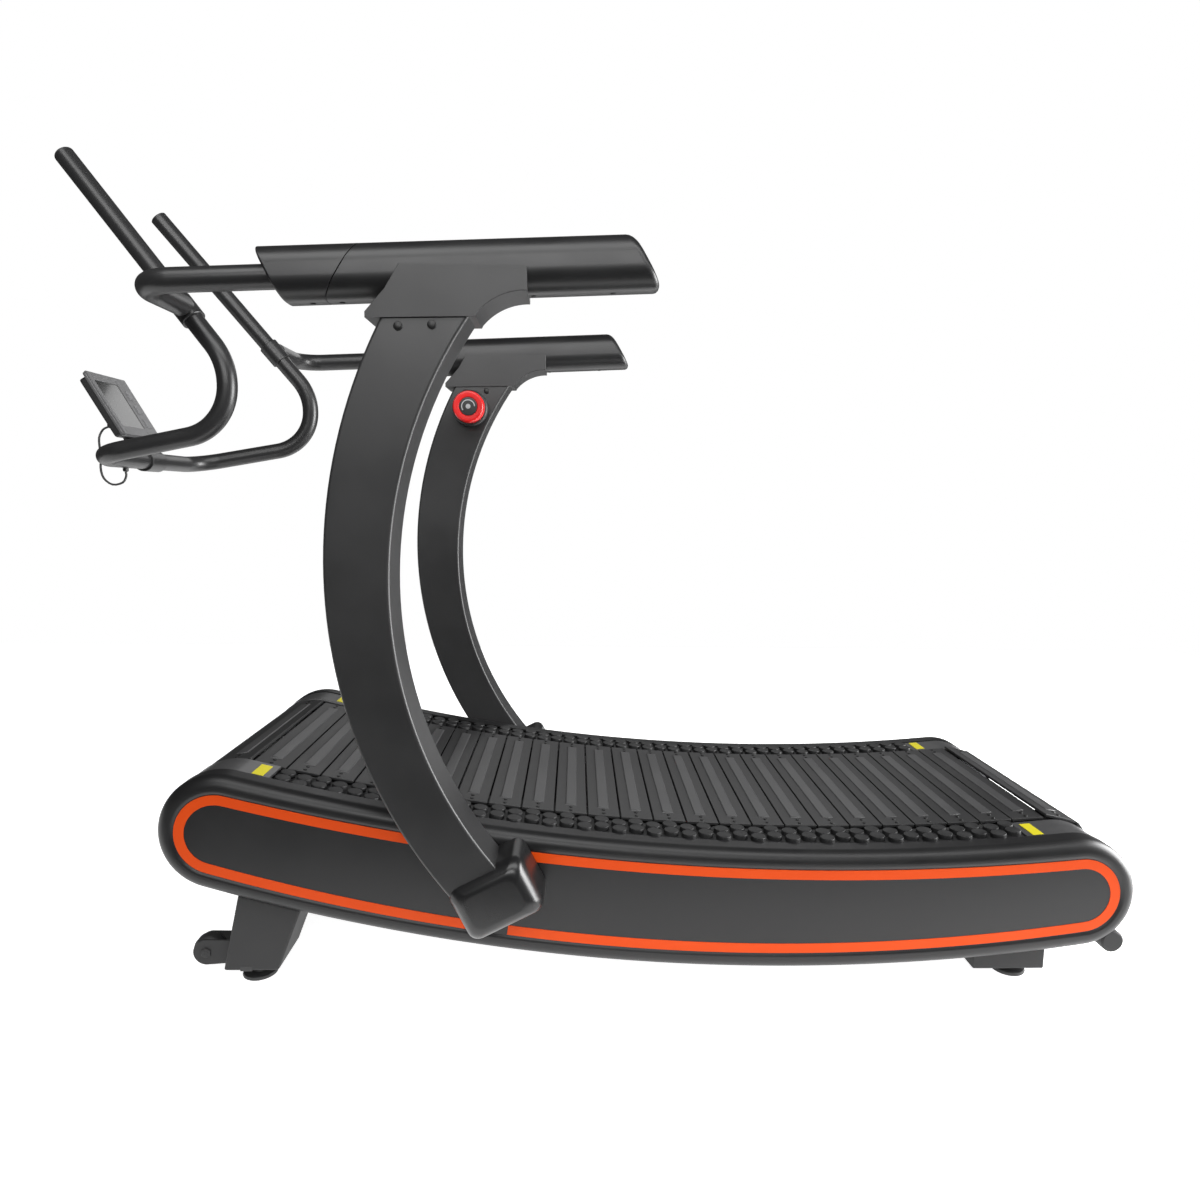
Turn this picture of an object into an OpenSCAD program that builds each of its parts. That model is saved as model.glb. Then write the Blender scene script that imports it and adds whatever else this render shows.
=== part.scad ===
// Curved manual treadmill: a slatted belt runs on a concave deck between two end drums, with curved
// uprights, arm rests, a bent handlebar and a small console at the front.
// Millimetres. +Z is up, the front (console end) is toward -X, the floor is Z = 0.

/* [Running surface] */
// Length of one slat, across the machine
belt_w = 432; // [380:2:480]
// Radius of the curved running surface
deck_r = 4850; // [4600:10:5200]
// Place of the lowest point of the running surface along the machine
deck_low_x = 485; // [460:5:510]
// Height of the lowest point of the running surface
deck_low_z = 261; // [259:1:266]
// Place of the front drum and front end of the covers
front_x = -640; // [-700:5:-600]
// Place of the rear drum and rear end of the covers
rear_x = 910; // [860:5:960]
// Radius of the slat surface around a drum
drum_r = 97; // [92:1:98]
// Radius of the lower, returning run of the belt
return_r = 3640; // [3635:1:3645]
// Number of slats in the belt
slat_count = 58; // [54:1:60]
// Gap between two slats
slat_gap = 3; // [2:0.5:5]
// Thickness of a slat plate
slat_plate_t = 6; // [4:0.5:6.5]
// Height of the raised rib along a slat
slat_rib_t = 2; // [1:0.5:3]
// Width of the raised rib along a slat
slat_rib_w = 22; // [14:1:28]
// Distance from a slat end to the end of its rib
slat_rib_end = 34; // [30:1:50]
// Thickness of the rubber carrier straps
strap_t = 7; // [5:0.5:8]
// Width of the rubber carrier straps
strap_w = 34; // [26:1:40]
// Distance of a strap centre from the slat end
strap_inset = 31; // [28:1:40]

/* [Side covers] */
// Radius of the top edge of a side cover
cover_top_r = 4451; // [4400:1:4500]
// Place of the lowest point of the top edge
cover_top_x = 479; // [470:1:490]
// Height of the lowest point of the top edge
cover_top_z = 255; // [252:1:258]
// Radius of the bottom edge of a side cover
cover_bot_r = 3655; // [3640:1:3670]
// Place of the lowest point of the bottom edge
cover_bot_x = 388; // [380:1:396]
// Height of the lowest point of the bottom edge
cover_bot_z = 32; // [30:1:34]
// Depth of a side cover, across the machine
cover_w = 45; // [38:1:54]
// Wall of the moulded covers
cover_wall = 3; // [2:0.5:4]
// Width of the raised bead around a cover face
bead_w = 30; // [26:1:34]
// Radius of the rounded outer corner of the bead
bead_round = 22; // [16:1:24]
// How far the cover face lies behind the bead
face_recess = 2; // [1:0.5:3]
// Distance of the coloured stripe from the cover edge
stripe_inset = 33; // [31:1:40]
// Width of the coloured stripe
stripe_w = 18; // [12:1:24]
// Thickness of the coloured stripe
stripe_t = 1; // [0.6:0.1:1.4]

/* [Foot rails] */
// Gap between the slat ends and the foot rails
rail_gap = 5; // [4:0.5:8]
// Width of a foot rail
rail_w = 67; // [60:1:74]
// Front end of the studded part of a rail
rail_front_x = -562; // [-600:1:-520]
// Rear end of the studded part of a rail
rail_rear_x = 826; // [780:1:850]
// How far a rail lies below the running surface
rail_drop = 9; // [7:0.5:12]
// Diameter of a grip stud
stud_d = 28; // [20:1:29]
// Height of a grip stud
stud_h = 9; // [6:0.5:12]
// Number of stud columns along a rail
stud_columns = 43; // [30:1:43]

/* [Frame] */
// Thickness of the steel side plates
plate_t = 5; // [4:0.5:8]
// How far a side plate lies inside the cover edge
plate_inset = 14; // [10:1:18]
// Diameter of the drum shafts
shaft_d = 25; // [20:1:30]
// Diameter of the guide roller axles and the brake rod
rod_d = 12; // [10:1:14]
// Diameter of a guide roller
roller_d = 50; // [40:1:54]
// Width of a guide roller
roller_w = 26; // [20:1:30]
// Width of a cross tube, along the machine
cross_w = 40; // [30:1:50]
// Height of a cross tube
cross_h = 50; // [40:1:60]
// Diameter of the brake disc
disc_d = 156; // [130:1:160]
// Distance of the brake disc from the middle of the machine
disc_y = 60; // [40:1:90]

/* [Legs and feet] */
// Width of a front leg, along the machine
leg_w = 98; // [80:1:110]
// Depth of a front leg, across the machine
leg_d = 110; // [96:1:120]
// Outer face of a leg, measured inward from the cover face
leg_inset = 18; // [14:1:24]
// Height of the underside of the front legs
leg_z = 26; // [22:1:32]
// Diameter of a foot pad
pad_d = 62; // [50:1:72]
// Thickness of a foot pad
pad_h = 8; // [6:0.5:12]
// Diameter of a foot's threaded stem
stem_d = 12; // [10:1:16]
// Diameter of a transport wheel
wheel_d = 54; // [44:1:60]
// Width of a transport wheel
wheel_w = 24; // [18:1:28]

/* [Uprights and arms] */
// Depth of an upright, across the machine
post_w = 83; // [70:1:96]
// Wall of the steel uprights
post_wall = 3; // [2:0.5:5]
// Height at which the arm sockets begin
socket_z = 1148; // [1100:1:1190]
// Height of an arm rest's centre line above the upright
arm_z = 1230; // [1210:1:1270]
// Slope of the arm rests, rising to the rear
arm_slope = 3; // [0:0.5:4]
// Height of an arm rest's section
arm_h = 84; // [76:1:92]
// Corner radius of an arm rest's section
arm_round = 34; // [20:1:36]
// Diameter of the tubes that carry the handlebar
arm_tube_d = 38; // [32:1:42]

/* [Handlebar] */
// Diameter of the handlebar tube
bar_d = 34; // [28:1:36]
// Wall of the handlebar tube
bar_wall = 2.5; // [2:0.5:4]
// Half width of the handlebar at its loops
loop_y = 222; // [200:1:240]
// Half width of the handlebar at its horn tips
tip_y = 160; // [140:1:180]
// Height of the horn tips
tip_z = 1464; // [1420:1:1500]

/* [Console and knob] */
// Width of the console, across the machine
console_w = 136; // [116:1:156]
// Length of the console face
console_h = 139; // [130:1:160]
// Lean of the console from upright
console_lean = 30; // [20:1:40]
// Diameter of the resistance knob
knob_d = 75; // [60:1:80]
// Depth of the resistance knob
knob_h = 30; // [20:1:36]

/* [Hidden] */

BLACK = [0.10, 0.10, 0.11];
CHARCOAL = [0.22, 0.22, 0.23];
SLATE = [0.34, 0.34, 0.35];
STEEL = [0.62, 0.63, 0.65];
ORANGE = [0.93, 0.33, 0.06];
RED = [0.86, 0.05, 0.05];
YELLOW = [0.85, 0.80, 0.06];

fit = 0.05;            // radial clearance of a turning or sliding fit
clear = 0.3;           // gap between pieces that move past each other
SMOOTH = 96;

// Half widths, from the middle of the machine outward
belt_y = belt_w / 2;
rail_y0 = belt_y + rail_gap;
rail_y1 = rail_y0 + rail_w;
cover_y1 = rail_y1 + cover_w;
plate_y0 = rail_y0 + 5;
plate_y1 = plate_y0 + plate_t;
post_y0 = cover_y1 + 2;
post_y1 = post_y0 + post_w;
post_y = (post_y0 + post_y1) / 2;
leg_y1 = cover_y1 - leg_inset;
leg_y0 = leg_y1 - leg_d;
foot_y = (leg_y0 + leg_y1) / 2 + 15;
strap_y = belt_y - strap_inset;

// ---------- plane geometry, in (x, z) ----------
function dir_deg(a, b) = atan2(b[1] - a[1], b[0] - a[0]);
function polar(c, r, a) = [c[0] + r * cos(a), c[1] + r * sin(a)];

deck_c = [deck_low_x, deck_low_z + deck_r];
top_c = [cover_top_x, cover_top_z + cover_top_r];
bot_c = [cover_bot_x, cover_bot_z + cover_bot_r];

function deck_z(x, drop = 0) = deck_c[1] - sqrt(pow(deck_r + drop, 2) - pow(x - deck_c[0], 2));
function cover_low_z(x) = bot_c[1] - sqrt(pow(cover_bot_r, 2) - pow(x - bot_c[0], 2));

// The circle at a given place that touches both long edges of a cover
function end_dir(x) = let (a = asin((x - top_c[0]) / (cover_top_r + 105))) [sin(a), -cos(a)];
function end_reach(x) =
  let (gap = top_c - bot_c, sum = cover_top_r + cover_bot_r)
  (sum * sum - gap * gap) / (2 * (sum + gap * end_dir(x)));
function end_c(x) = top_c + end_reach(x) * end_dir(x);
function end_r(x) = end_reach(x) - cover_top_r;

front_end = end_c(front_x);
rear_end = end_c(rear_x);

// Drums hang on a circle just under the deck
function drum_c(x) = [x, deck_c[1] - sqrt(pow(deck_r + drum_r, 2) - pow(x - deck_c[0], 2))];
front_c = drum_c(front_x);
rear_c = drum_c(rear_x);

// Centre of the returning run, whose arc touches both drums
drum_span = rear_c - front_c;
drum_gap = norm(drum_span);
return_rise = sqrt(pow(return_r - drum_r, 2) - pow(drum_gap / 2, 2));
return_c = (front_c + rear_c) / 2 + return_rise * [-drum_span[1], drum_span[0]] / drum_gap;

// Belt line under the slats: deck, rear drum, return, front drum
slat_t = slat_plate_t + slat_rib_t;
deck_a0 = dir_deg(deck_c, front_c);
deck_a1 = dir_deg(deck_c, rear_c);
rear_a0 = dir_deg(rear_c, deck_c);
rear_a1 = dir_deg(return_c, rear_c);
ret_a0 = dir_deg(return_c, rear_c);
ret_a1 = dir_deg(return_c, front_c);
front_a0 = ret_a1 + 360;
front_a1 = dir_deg(front_c, deck_c);
DEG = PI / 180;
len_deck = (deck_r + slat_t) * (deck_a1 - deck_a0) * DEG;
len_rear = (drum_r - slat_t) * (rear_a0 - rear_a1) * DEG;
len_return = (return_r - slat_t) * (ret_a0 - ret_a1) * DEG;
len_front = (drum_r - slat_t) * (front_a0 - front_a1) * DEG;
belt_len = len_deck + len_rear + len_return + len_front;
slat_pitch = belt_len / slat_count;
slat_w = slat_pitch - slat_gap;
slat_phase = (deck_r + slat_t) * (-90 - deck_a0) * DEG - slat_pitch * floor(len_deck / slat_pitch / 2);

// [x, z, tangent angle] at a distance along the belt line
function on_belt(s) =
  s < len_deck
    ? let (a = deck_a0 + s / (deck_r + slat_t) / DEG)
      concat(polar(deck_c, deck_r + slat_t, a), [a + 90])
  : s < len_deck + len_rear
    ? let (a = rear_a0 - (s - len_deck) / (drum_r - slat_t) / DEG)
      concat(polar(rear_c, drum_r - slat_t, a), [a - 90])
  : s < len_deck + len_rear + len_return
    ? let (a = ret_a0 - (s - len_deck - len_rear) / (return_r - slat_t) / DEG)
      concat(polar(return_c, return_r - slat_t, a), [a - 90])
  : let (a = front_a0 - (s - len_deck - len_rear - len_return) / (drum_r - slat_t) / DEG)
    concat(polar(front_c, drum_r - slat_t, a), [a - 90]);
function slat_at(i) = on_belt((slat_phase + i * slat_pitch) % belt_len);

// ---------- helpers ----------
// A shape drawn in (x, z), given a depth from y0 to y1
module slab(y0, y1) {
  translate([0, y1, 0]) rotate([90, 0, 0]) linear_extrude(y1 - y0) children();
}

// A shape drawn in (radius, y), swept about a line along Y from angle a0 to a1
module sweep(c, a0, a1) {
  translate([c[0], 0, c[1]])
    mirror([0, 1, 0])
      rotate([90, 0, 0])
        rotate([0, 0, a0]) rotate_extrude(angle = a1 - a0, $fn = 180) children();
}

module rod_y(c, y0, y1, d) {
  translate([c[0], y1, c[1]]) rotate([90, 0, 0]) cylinder(d = d, h = y1 - y0, $fn = SMOOTH);
}

module ring_y(c, y0, y1, d, bore) {
  difference() {
    rod_y(c, y0, y1, d);
    rod_y(c, y0 - 1, y1 + 1, bore);
  }
}

module on_side(side) {
  if (side > 0) children();
  else mirror([0, 1, 0]) children();
}

module both_sides() {
  children();
  mirror([0, 1, 0]) children();
}

// Rectangle with rounded corners, centred
module round_rect(w, h, r) {
  square([w - 2 * r, h], center = true);
  square([w, h - 2 * r], center = true);
  for (u = [-1, 1], v = [-1, 1]) translate([u * (w / 2 - r), v * (h / 2 - r)]) circle(r, $fn = 48);
}

// Outline of a side cover, drawn inside its edge by inset
module cover_shape(inset) {
  difference() {
    intersection() {
      translate(bot_c) circle(cover_bot_r - inset, $fn = 720);
      polygon([top_c, front_end, bot_c + 1.1 * (front_end - bot_c), bot_c + 1.1 * (rear_end - bot_c), rear_end]);
    }
    translate(top_c) circle(cover_top_r + inset, $fn = 720);
  }
  translate(front_end) circle(end_r(front_x) - inset, $fn = 180);
  translate(rear_end) circle(end_r(rear_x) - inset, $fn = 180);
}

// ---------- tube paths ----------
elbow_let_in = 1;
elbow_skin = 0.05;
function unit(v) = v / norm(v);
function bend_angle(p, q, r) = acos(unit(q - p) * unit(r - q));
function bend_trim(p, q, r, radius) = radius * tan(bend_angle(p, q, r) / 2);

module along(p, q) {
  v = q - p;
  translate(p) rotate([0, acos(v[2] / norm(v)), atan2(v[1], v[0])]) children();
}

module pipe(p, q, r, wall) {
  along(p, q) difference() {
    cylinder(r = r, h = norm(q - p), $fn = SMOOTH);
    if (wall > 0) translate([0, 0, -1]) cylinder(r = r - wall, h = norm(q - p) + 2, $fn = SMOOTH);
  }
}

// Torus segment at corner q between the legs p-q and q-r, let a little way into both legs' walls
module elbow(p, q, r, radius, tube_r, wall) {
  d0 = unit(q - p);
  d1 = unit(r - q);
  a = bend_angle(p, q, r);
  start = q - bend_trim(p, q, r, radius) * d0;
  inward = unit(d1 - (d1 * d0) * d0);
  c = start + radius * inward;
  axis = cross(-inward, d0);
  let_in = elbow_let_in / radius / DEG;
  multmatrix([
    [-inward[0], d0[0], axis[0], c[0]],
    [-inward[1], d0[1], axis[1], c[1]],
    [-inward[2], d0[2], axis[2], c[2]],
    [0, 0, 0, 1]
  ])
    rotate([0, 0, -let_in]) rotate_extrude(angle = a + 2 * let_in, $fn = SMOOTH)
      translate([radius, 0]) difference() {
        circle(tube_r - elbow_skin, $fn = SMOOTH);
        if (wall > 0) circle(tube_r - wall + elbow_skin, $fn = SMOOTH);
      }
}

// A tube through points, with a bend radius at each inner point
module bent_tube(points, radii, tube_r, wall) {
  last = len(points) - 1;
  for (i = [0 : last - 1]) {
    p = points[i];
    q = points[i + 1];
    t0 = i == 0 ? 0 : bend_trim(points[i - 1], p, q, radii[i - 1]);
    t1 = i + 1 == last ? 0 : bend_trim(p, q, points[i + 2], radii[i]);
    pipe(p + t0 * unit(q - p), q - t1 * unit(q - p), tube_r, wall);
  }
  for (i = [1 : last - 1])
    elbow(points[i - 1], points[i], points[i + 1], radii[i - 1], tube_r, wall);
}

// ---------- frame ----------
boss_d = 36;
boss_at = [[-204, 256], [-120, 196]];
roller_drop = slat_t + strap_t + clear + roller_d / 2;
roller_count = 6;
roller_margin = 130;
function roller_x(i) =
  front_x + roller_margin + i * (rear_x - front_x - 2 * roller_margin) / (roller_count - 1);
function roller_c(i) = [roller_x(i), deck_z(roller_x(i), roller_drop)];
yoke_pivot = front_c + [150, -54];

module side_frame(side) {
  color(CHARCOAL) on_side(side) {
    difference() {
      slab(plate_y0, plate_y1) cover_shape(plate_inset);
      for (c = [front_c, rear_c]) rod_y(c, plate_y0 - 1, plate_y1 + 1, shaft_d + 3);
      for (i = [0 : roller_count - 1]) rod_y(roller_c(i), plate_y0 - 1, plate_y1 + 1, rod_d);
      rod_y(yoke_pivot, plate_y0 - 1, plate_y1 + 1, rod_d);
    }
    for (c = boss_at) rod_y(c, plate_y1, post_y0, boss_d);
  }
}

cross_at = [-390, -60, 330, 720];

module cross_tubes() {
  color(CHARCOAL) for (x = cross_at) {
    low = return_c[1] - sqrt(pow(return_r, 2) - pow(x - return_c[0], 2)) + slat_t + strap_t + 10;
    translate([x - cross_w / 2, -plate_y0, low]) difference() {
      cube([cross_w, 2 * plate_y0, cross_h]);
      translate([3, -1, 3]) cube([cross_w - 6, 2 * plate_y0 + 2, cross_h - 6]);
    }
  }
}

module axle_rods() {
  color(STEEL) {
    for (i = [0 : roller_count - 1]) rod_y(roller_c(i), -plate_y1 - 4, plate_y1 + 4, rod_d);
    rod_y(yoke_pivot, -plate_y1 - 4, plate_y1 + 4, rod_d);
  }
}

bearing_w = 15;
module drum_bearings() {
  color(STEEL) both_sides()
    for (c = [front_c, rear_c])
      ring_y(c, plate_y1, plate_y1 + bearing_w, shaft_d + 30, shaft_d + 2 * fit);
}

// ---------- covers ----------
// Section of the bead, drawn thinner by a skin where it is let into its neighbour
module bead_profile(skin = 0) {
  difference() {
    union() {
      translate([skin, rail_y1 + skin]) square([bead_w - 2 * skin, cover_w - bead_round - skin]);
      translate([bead_round, cover_y1 - bead_round]) circle(bead_round - skin, $fn = SMOOTH);
      translate([bead_round, rail_y1 + skin]) square([bead_w - bead_round - skin, cover_w - 2 * skin]);
    }
    translate([cover_wall - skin, rail_y1 - 1]) square([bead_w, cover_w - bead_round + 1]);
    translate([bead_round, cover_y1 - bead_round]) circle(bead_round - cover_wall + skin, $fn = SMOOTH);
    translate([bead_round, rail_y1 - 1]) square([bead_w, cover_w + 1 - cover_wall + skin]);
  }
}

end_let_in = 3;
end_skin = 0.5;
module end_bead(c, r, a0, a1) {
  reach = end_let_in / r / DEG;
  sweep(c, a0 - reach, a1 + reach) translate([r, 0]) mirror([1, 0]) bead_profile(end_skin);
}

module side_cover(side) {
  a_top = [dir_deg(top_c, front_end), dir_deg(top_c, rear_end)];
  a_bot = [dir_deg(bot_c, front_end), dir_deg(bot_c, rear_end)];
  color(BLACK) on_side(side) {
    sweep(top_c, a_top[0], a_top[1]) translate([cover_top_r, 0]) bead_profile();
    sweep(bot_c, a_bot[0], a_bot[1]) translate([cover_bot_r, 0]) mirror([1, 0]) bead_profile();
    end_bead(front_end, end_r(front_x), dir_deg(front_end, top_c), a_bot[0] + 360);
    end_bead(rear_end, end_r(rear_x), a_bot[1], dir_deg(rear_end, top_c));
    difference() {
      slab(cover_y1 - face_recess - cover_wall, cover_y1 - face_recess) cover_shape(bead_w - cover_wall);
      for (c = boss_at) rod_y(c, rail_y1, cover_y1 + 1, boss_d + 4);
    }
  }
}

// The boot's centre, tilt and size; the stripe keeps clear of it
boot_c = [-147, 218];
boot_tilt = 27;
boot_w = 134;
boot_h = 100;
boot_out = 14;
stripe_break = [[-68, 120], [7, 112], [51, 30.5], [67, 0], [12, -83], [12, -128], [-21, -128], [-68, -38]];

module trim_stripes() {
  color(ORANGE) both_sides()
    slab(cover_y1 - face_recess, cover_y1 - face_recess + stripe_t) difference() {
      cover_shape(stripe_inset);
      cover_shape(stripe_inset + stripe_w);
      polygon([for (p = stripe_break) boot_c + p]);
      for (c = boss_at) translate(c) circle(d = boss_d + 4);
    }
}

// ---------- foot rails ----------
module rail_band(x0, x1) {
  polygon([[x0, 0], [x1, 0], [x1, deck_z(x1) + 40], [x0, deck_z(x0) + 40]]);
}

module foot_rails() {
  color(BLACK) both_sides()
    slab(rail_y0, rail_y1) difference() {
      intersection() {
        translate(top_c) circle(cover_top_r + plate_inset, $fn = 720);
        rail_band(rail_front_x, rail_rear_x);
      }
      translate(deck_c) circle(deck_r + rail_drop, $fn = 720);
    }
}

stud_pitch = (rail_rear_x - rail_front_x) / stud_columns;
stud_rows = [15, 43.5];
stud_shift = 9;

module grip_studs() {
  color(BLACK) both_sides()
    for (i = [0 : stud_columns - 1], y = stud_rows) {
      x = rail_front_x + (i + 0.5) * stud_pitch;
      lean = asin((x - deck_c[0]) / deck_r);
      row = rail_y0 + y + (i % 2) * stud_shift;
      translate([x, row, deck_z(x, rail_drop)])
        rotate([0, -lean, 0]) cylinder(d = stud_d, h = stud_h, $fn = 48);
    }
}

end_wrap = 105;
end_shell = 6;
module rail_end_covers() {
  front_a = dir_deg(front_end, top_c);
  rear_a = dir_deg(rear_end, top_c);
  color(CHARCOAL) both_sides() {
    sweep(front_end, front_a, front_a + end_wrap)
      translate([end_r(front_x) - 2 - end_shell, rail_y0]) square([end_shell, rail_w]);
    sweep(rear_end, rear_a - end_wrap, rear_a)
      translate([end_r(rear_x) - 2 - end_shell, rail_y0]) square([end_shell, rail_w]);
    sweep(top_c, dir_deg(top_c, front_end), dir_deg(top_c, [rail_front_x, deck_z(rail_front_x)]))
      translate([cover_top_r + 2, rail_y0]) square([end_shell, rail_w]);
    sweep(top_c, dir_deg(top_c, [rail_rear_x, deck_z(rail_rear_x)]), dir_deg(top_c, rear_end))
      translate([cover_top_r + 2, rail_y0]) square([end_shell, rail_w]);
  }
}

plate_len = 20;
module caution_plates() {
  angle = (plate_len / cover_top_r) / DEG;
  color(YELLOW) both_sides()
    for (a = [dir_deg(top_c, [rail_front_x, deck_z(rail_front_x)]) - 1.6 * angle,
              dir_deg(top_c, [rail_rear_x, deck_z(rail_rear_x)]) + 0.6 * angle])
      sweep(top_c, a, a + angle)
        translate([cover_top_r + 1.4, rail_y0 + 12]) square([0.6, rail_w - 18]);
}

// ---------- belt ----------
// A flat slat's ends come this close to the curved strap under it
slat_seat = slat_w * slat_w / (8 * deck_r) + 0.02;
module belt_slats() {
  color(SLATE)
    for (i = [0 : slat_count - 1]) {
      p = slat_at(i);
      translate([p[0], 0, p[1]]) rotate([0, -p[2], 0]) {
        translate([-slat_w / 2, -belt_y, slat_seat]) cube([slat_w, belt_w, slat_plate_t - slat_seat]);
        translate([-slat_rib_w / 2, -belt_y + slat_rib_end, slat_plate_t - 1])
          cube([slat_rib_w, belt_w - 2 * slat_rib_end, slat_rib_t + 1]);
      }
    }
}

module strap_profile(inner) {
  translate([inner, strap_y - strap_w / 2]) square([strap_t, strap_w]);
}

module belt_straps() {
  color(BLACK) both_sides() {
    sweep(deck_c, deck_a0, deck_a1) strap_profile(deck_r + slat_t);
    sweep(rear_c, rear_a1, rear_a0) strap_profile(drum_r - slat_t - strap_t);
    sweep(return_c, ret_a1, ret_a0) strap_profile(return_r - slat_t - strap_t);
    sweep(front_c, front_a1, front_a0) strap_profile(drum_r - slat_t - strap_t);
  }
}

screw_insets = [9, 25];
screw_d = 7;
screw_h = 1.5;
module slat_screws() {
  color(BLACK)
    for (i = [0 : slat_count - 1]) {
      p = slat_at(i);
      translate([p[0], 0, p[1]]) rotate([0, -p[2], 0])
        both_sides() for (y = screw_insets)
          translate([0, belt_y - y, slat_plate_t]) cylinder(d = screw_d, h = screw_h, $fn = 24);
    }
}

// ---------- drums, rollers and brake ----------
core_d = 60;
hub_len = 20;
module drum(c) {
  pulley_d = 2 * (drum_r - slat_t - strap_t - clear);
  color(STEEL) {
    rod_y(c, -plate_y1 - bearing_w - 2, plate_y1 + bearing_w + 2, shaft_d);
    rod_y(c, -strap_y, strap_y, core_d);
    both_sides() rod_y(c, strap_y - strap_w / 2 - 3, strap_y + strap_w / 2 + 3, pulley_d);
  }
}

module brake_disc() {
  color(STEEL) {
    ring_y(front_c, disc_y - 3, disc_y + 3, disc_d, core_d);
    ring_y(front_c, disc_y - 3 - hub_len, disc_y - 3, core_d + 16, core_d);
  }
}

magnet_gap = 3;
cheek_t = 8;
module magnet_yoke() {
  tip = front_c + [disc_d / 2 - 14, -30];
  color(CHARCOAL) {
    ring_y(yoke_pivot, disc_y - 3 - magnet_gap - cheek_t, disc_y + 3 + magnet_gap + cheek_t, 28, rod_d + 2 * fit);
    for (y = [disc_y - 3 - magnet_gap - cheek_t, disc_y + 3 + magnet_gap])
      difference() {
        slab(y, y + cheek_t) {
          translate(tip) circle(20, $fn = SMOOTH);
          translate(yoke_pivot) circle(14, $fn = SMOOTH);
          translate((tip + yoke_pivot) / 2)
            rotate(dir_deg(tip, yoke_pivot)) square([norm(yoke_pivot - tip), 26], center = true);
        }
        rod_y(yoke_pivot, y - 1, y + cheek_t + 1, rod_d + 2 * fit);
      }
  }
}

post_front_c = [430, 753];
post_front_r = 844;
post_rear_c = [427, 735];
post_rear_r = 737;
cable_c = (post_front_c + post_rear_c) / 2;
cable_r = (post_front_r + post_rear_r) / 2;
module brake_cable() {
  color(BLACK)
    sweep(cable_c, 156, 212) translate([cable_r, post_y]) circle(2.5, $fn = 24);
}

sleeve_wall = 4;
module guide_roller(i) {
  color(STEEL) {
    both_sides()
      ring_y(roller_c(i), strap_y - roller_w / 2, strap_y + roller_w / 2, roller_d, rod_d + 2 * fit);
    ring_y(roller_c(i), -strap_y, strap_y, rod_d + 2 * fit + 2 * sleeve_wall, rod_d + 2 * fit);
  }
}

// ---------- legs, wheels and feet ----------
leg_low_x = -645;
leg_lean = 0.3;
leg_top_z = 176;
leg_wall = 3;
front_foot_x = leg_low_x + leg_w / 2 + 2;
rear_foot_x = 812;

// Everything above the bottom edge of a cover, let down by a thickness
module under_cover(y0, y1, down) {
  slab(y0, y1) translate(bot_c) circle(cover_bot_r + 0.5 + down, $fn = 720);
}

module leg_outline(grow) {
  run = leg_lean * (leg_top_z - leg_z);
  polygon([
    [leg_low_x - grow, leg_z - grow],
    [leg_low_x + leg_w + grow, leg_z - grow],
    [leg_low_x + leg_w + run + grow, leg_top_z + grow],
    [leg_low_x + run - grow, leg_top_z + grow]
  ]);
}

leg_base_t = 5;
tongue = [60, 6, 74];
tongue_x = leg_low_x + leg_lean * (leg_top_z - leg_z) + 10;
module leg(side) {
  color(CHARCOAL) on_side(side) {
    difference() {
      slab(leg_y0, leg_y1) leg_outline(0);
      difference() {
        slab(leg_y0 + leg_wall, leg_y1 - leg_wall) leg_outline(-leg_base_t);
        under_cover(leg_y0, leg_y1, leg_base_t);
      }
      under_cover(leg_y0 - 1, leg_y1 + 1, 0);
      translate([front_foot_x, foot_y, 0])
        cylinder(d = stem_d + 2 * fit, h = leg_z + leg_base_t + 1, $fn = SMOOTH);
    }
    translate([tongue_x, plate_y1, cover_low_z(tongue_x + tongue[0]) - leg_base_t + 1]) cube(tongue);
  }
}

wheel_c = [-684, 49];
wheel_y = foot_y;
cheek_gap = 1.5;
module wheel_brackets() {
  cheek = wheel_w / 2 + cheek_gap;
  color(CHARCOAL) both_sides() {
    for (y = [wheel_y - cheek - 4, wheel_y + cheek]) slab(y, y + 4) {
      translate(wheel_c) circle(24, $fn = SMOOTH);
      polygon([
        wheel_c + [0, -24], [leg_low_x - 0.4, leg_z + 2],
        [leg_low_x + leg_lean * 46 - 0.4, leg_z + 46], wheel_c + [0, 24]
      ]);
    }
    rod_y(wheel_c, wheel_y - cheek - 8, wheel_y + cheek + 8, 10);
  }
}

module transport_wheel(side) {
  color(BLACK) on_side(side)
    ring_y(wheel_c, wheel_y - wheel_w / 2, wheel_y + wheel_w / 2, wheel_d, 10 + 2 * fit);
}

stem_h = 62;
module foot(x, side) {
  color(BLACK) on_side(side) translate([x, foot_y, 0]) {
    cylinder(d = pad_d, h = pad_h, $fn = SMOOTH);
    cylinder(d = 26, h = pad_h + 4, $fn = SMOOTH);
    cylinder(d = stem_d, h = stem_h, $fn = SMOOTH);
  }
}

bracket_x = [728, 862];
bracket_z = 19;
module rear_foot_brackets() {
  color(CHARCOAL) both_sides() {
    difference() {
      translate([bracket_x[0], plate_y1 + 2, bracket_z])
        cube([bracket_x[1] - bracket_x[0], leg_y1 - plate_y1 - 7, 60]);
      under_cover(plate_y1, leg_y1, 0);
      translate([rear_foot_x, foot_y, 0]) cylinder(d = stem_d + 2 * fit, h = 90, $fn = SMOOTH);
    }
    translate([bracket_x[0], plate_y1, bracket_z]) cube([bracket_x[1] - bracket_x[0], 6, 70]);
  }
}

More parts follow.
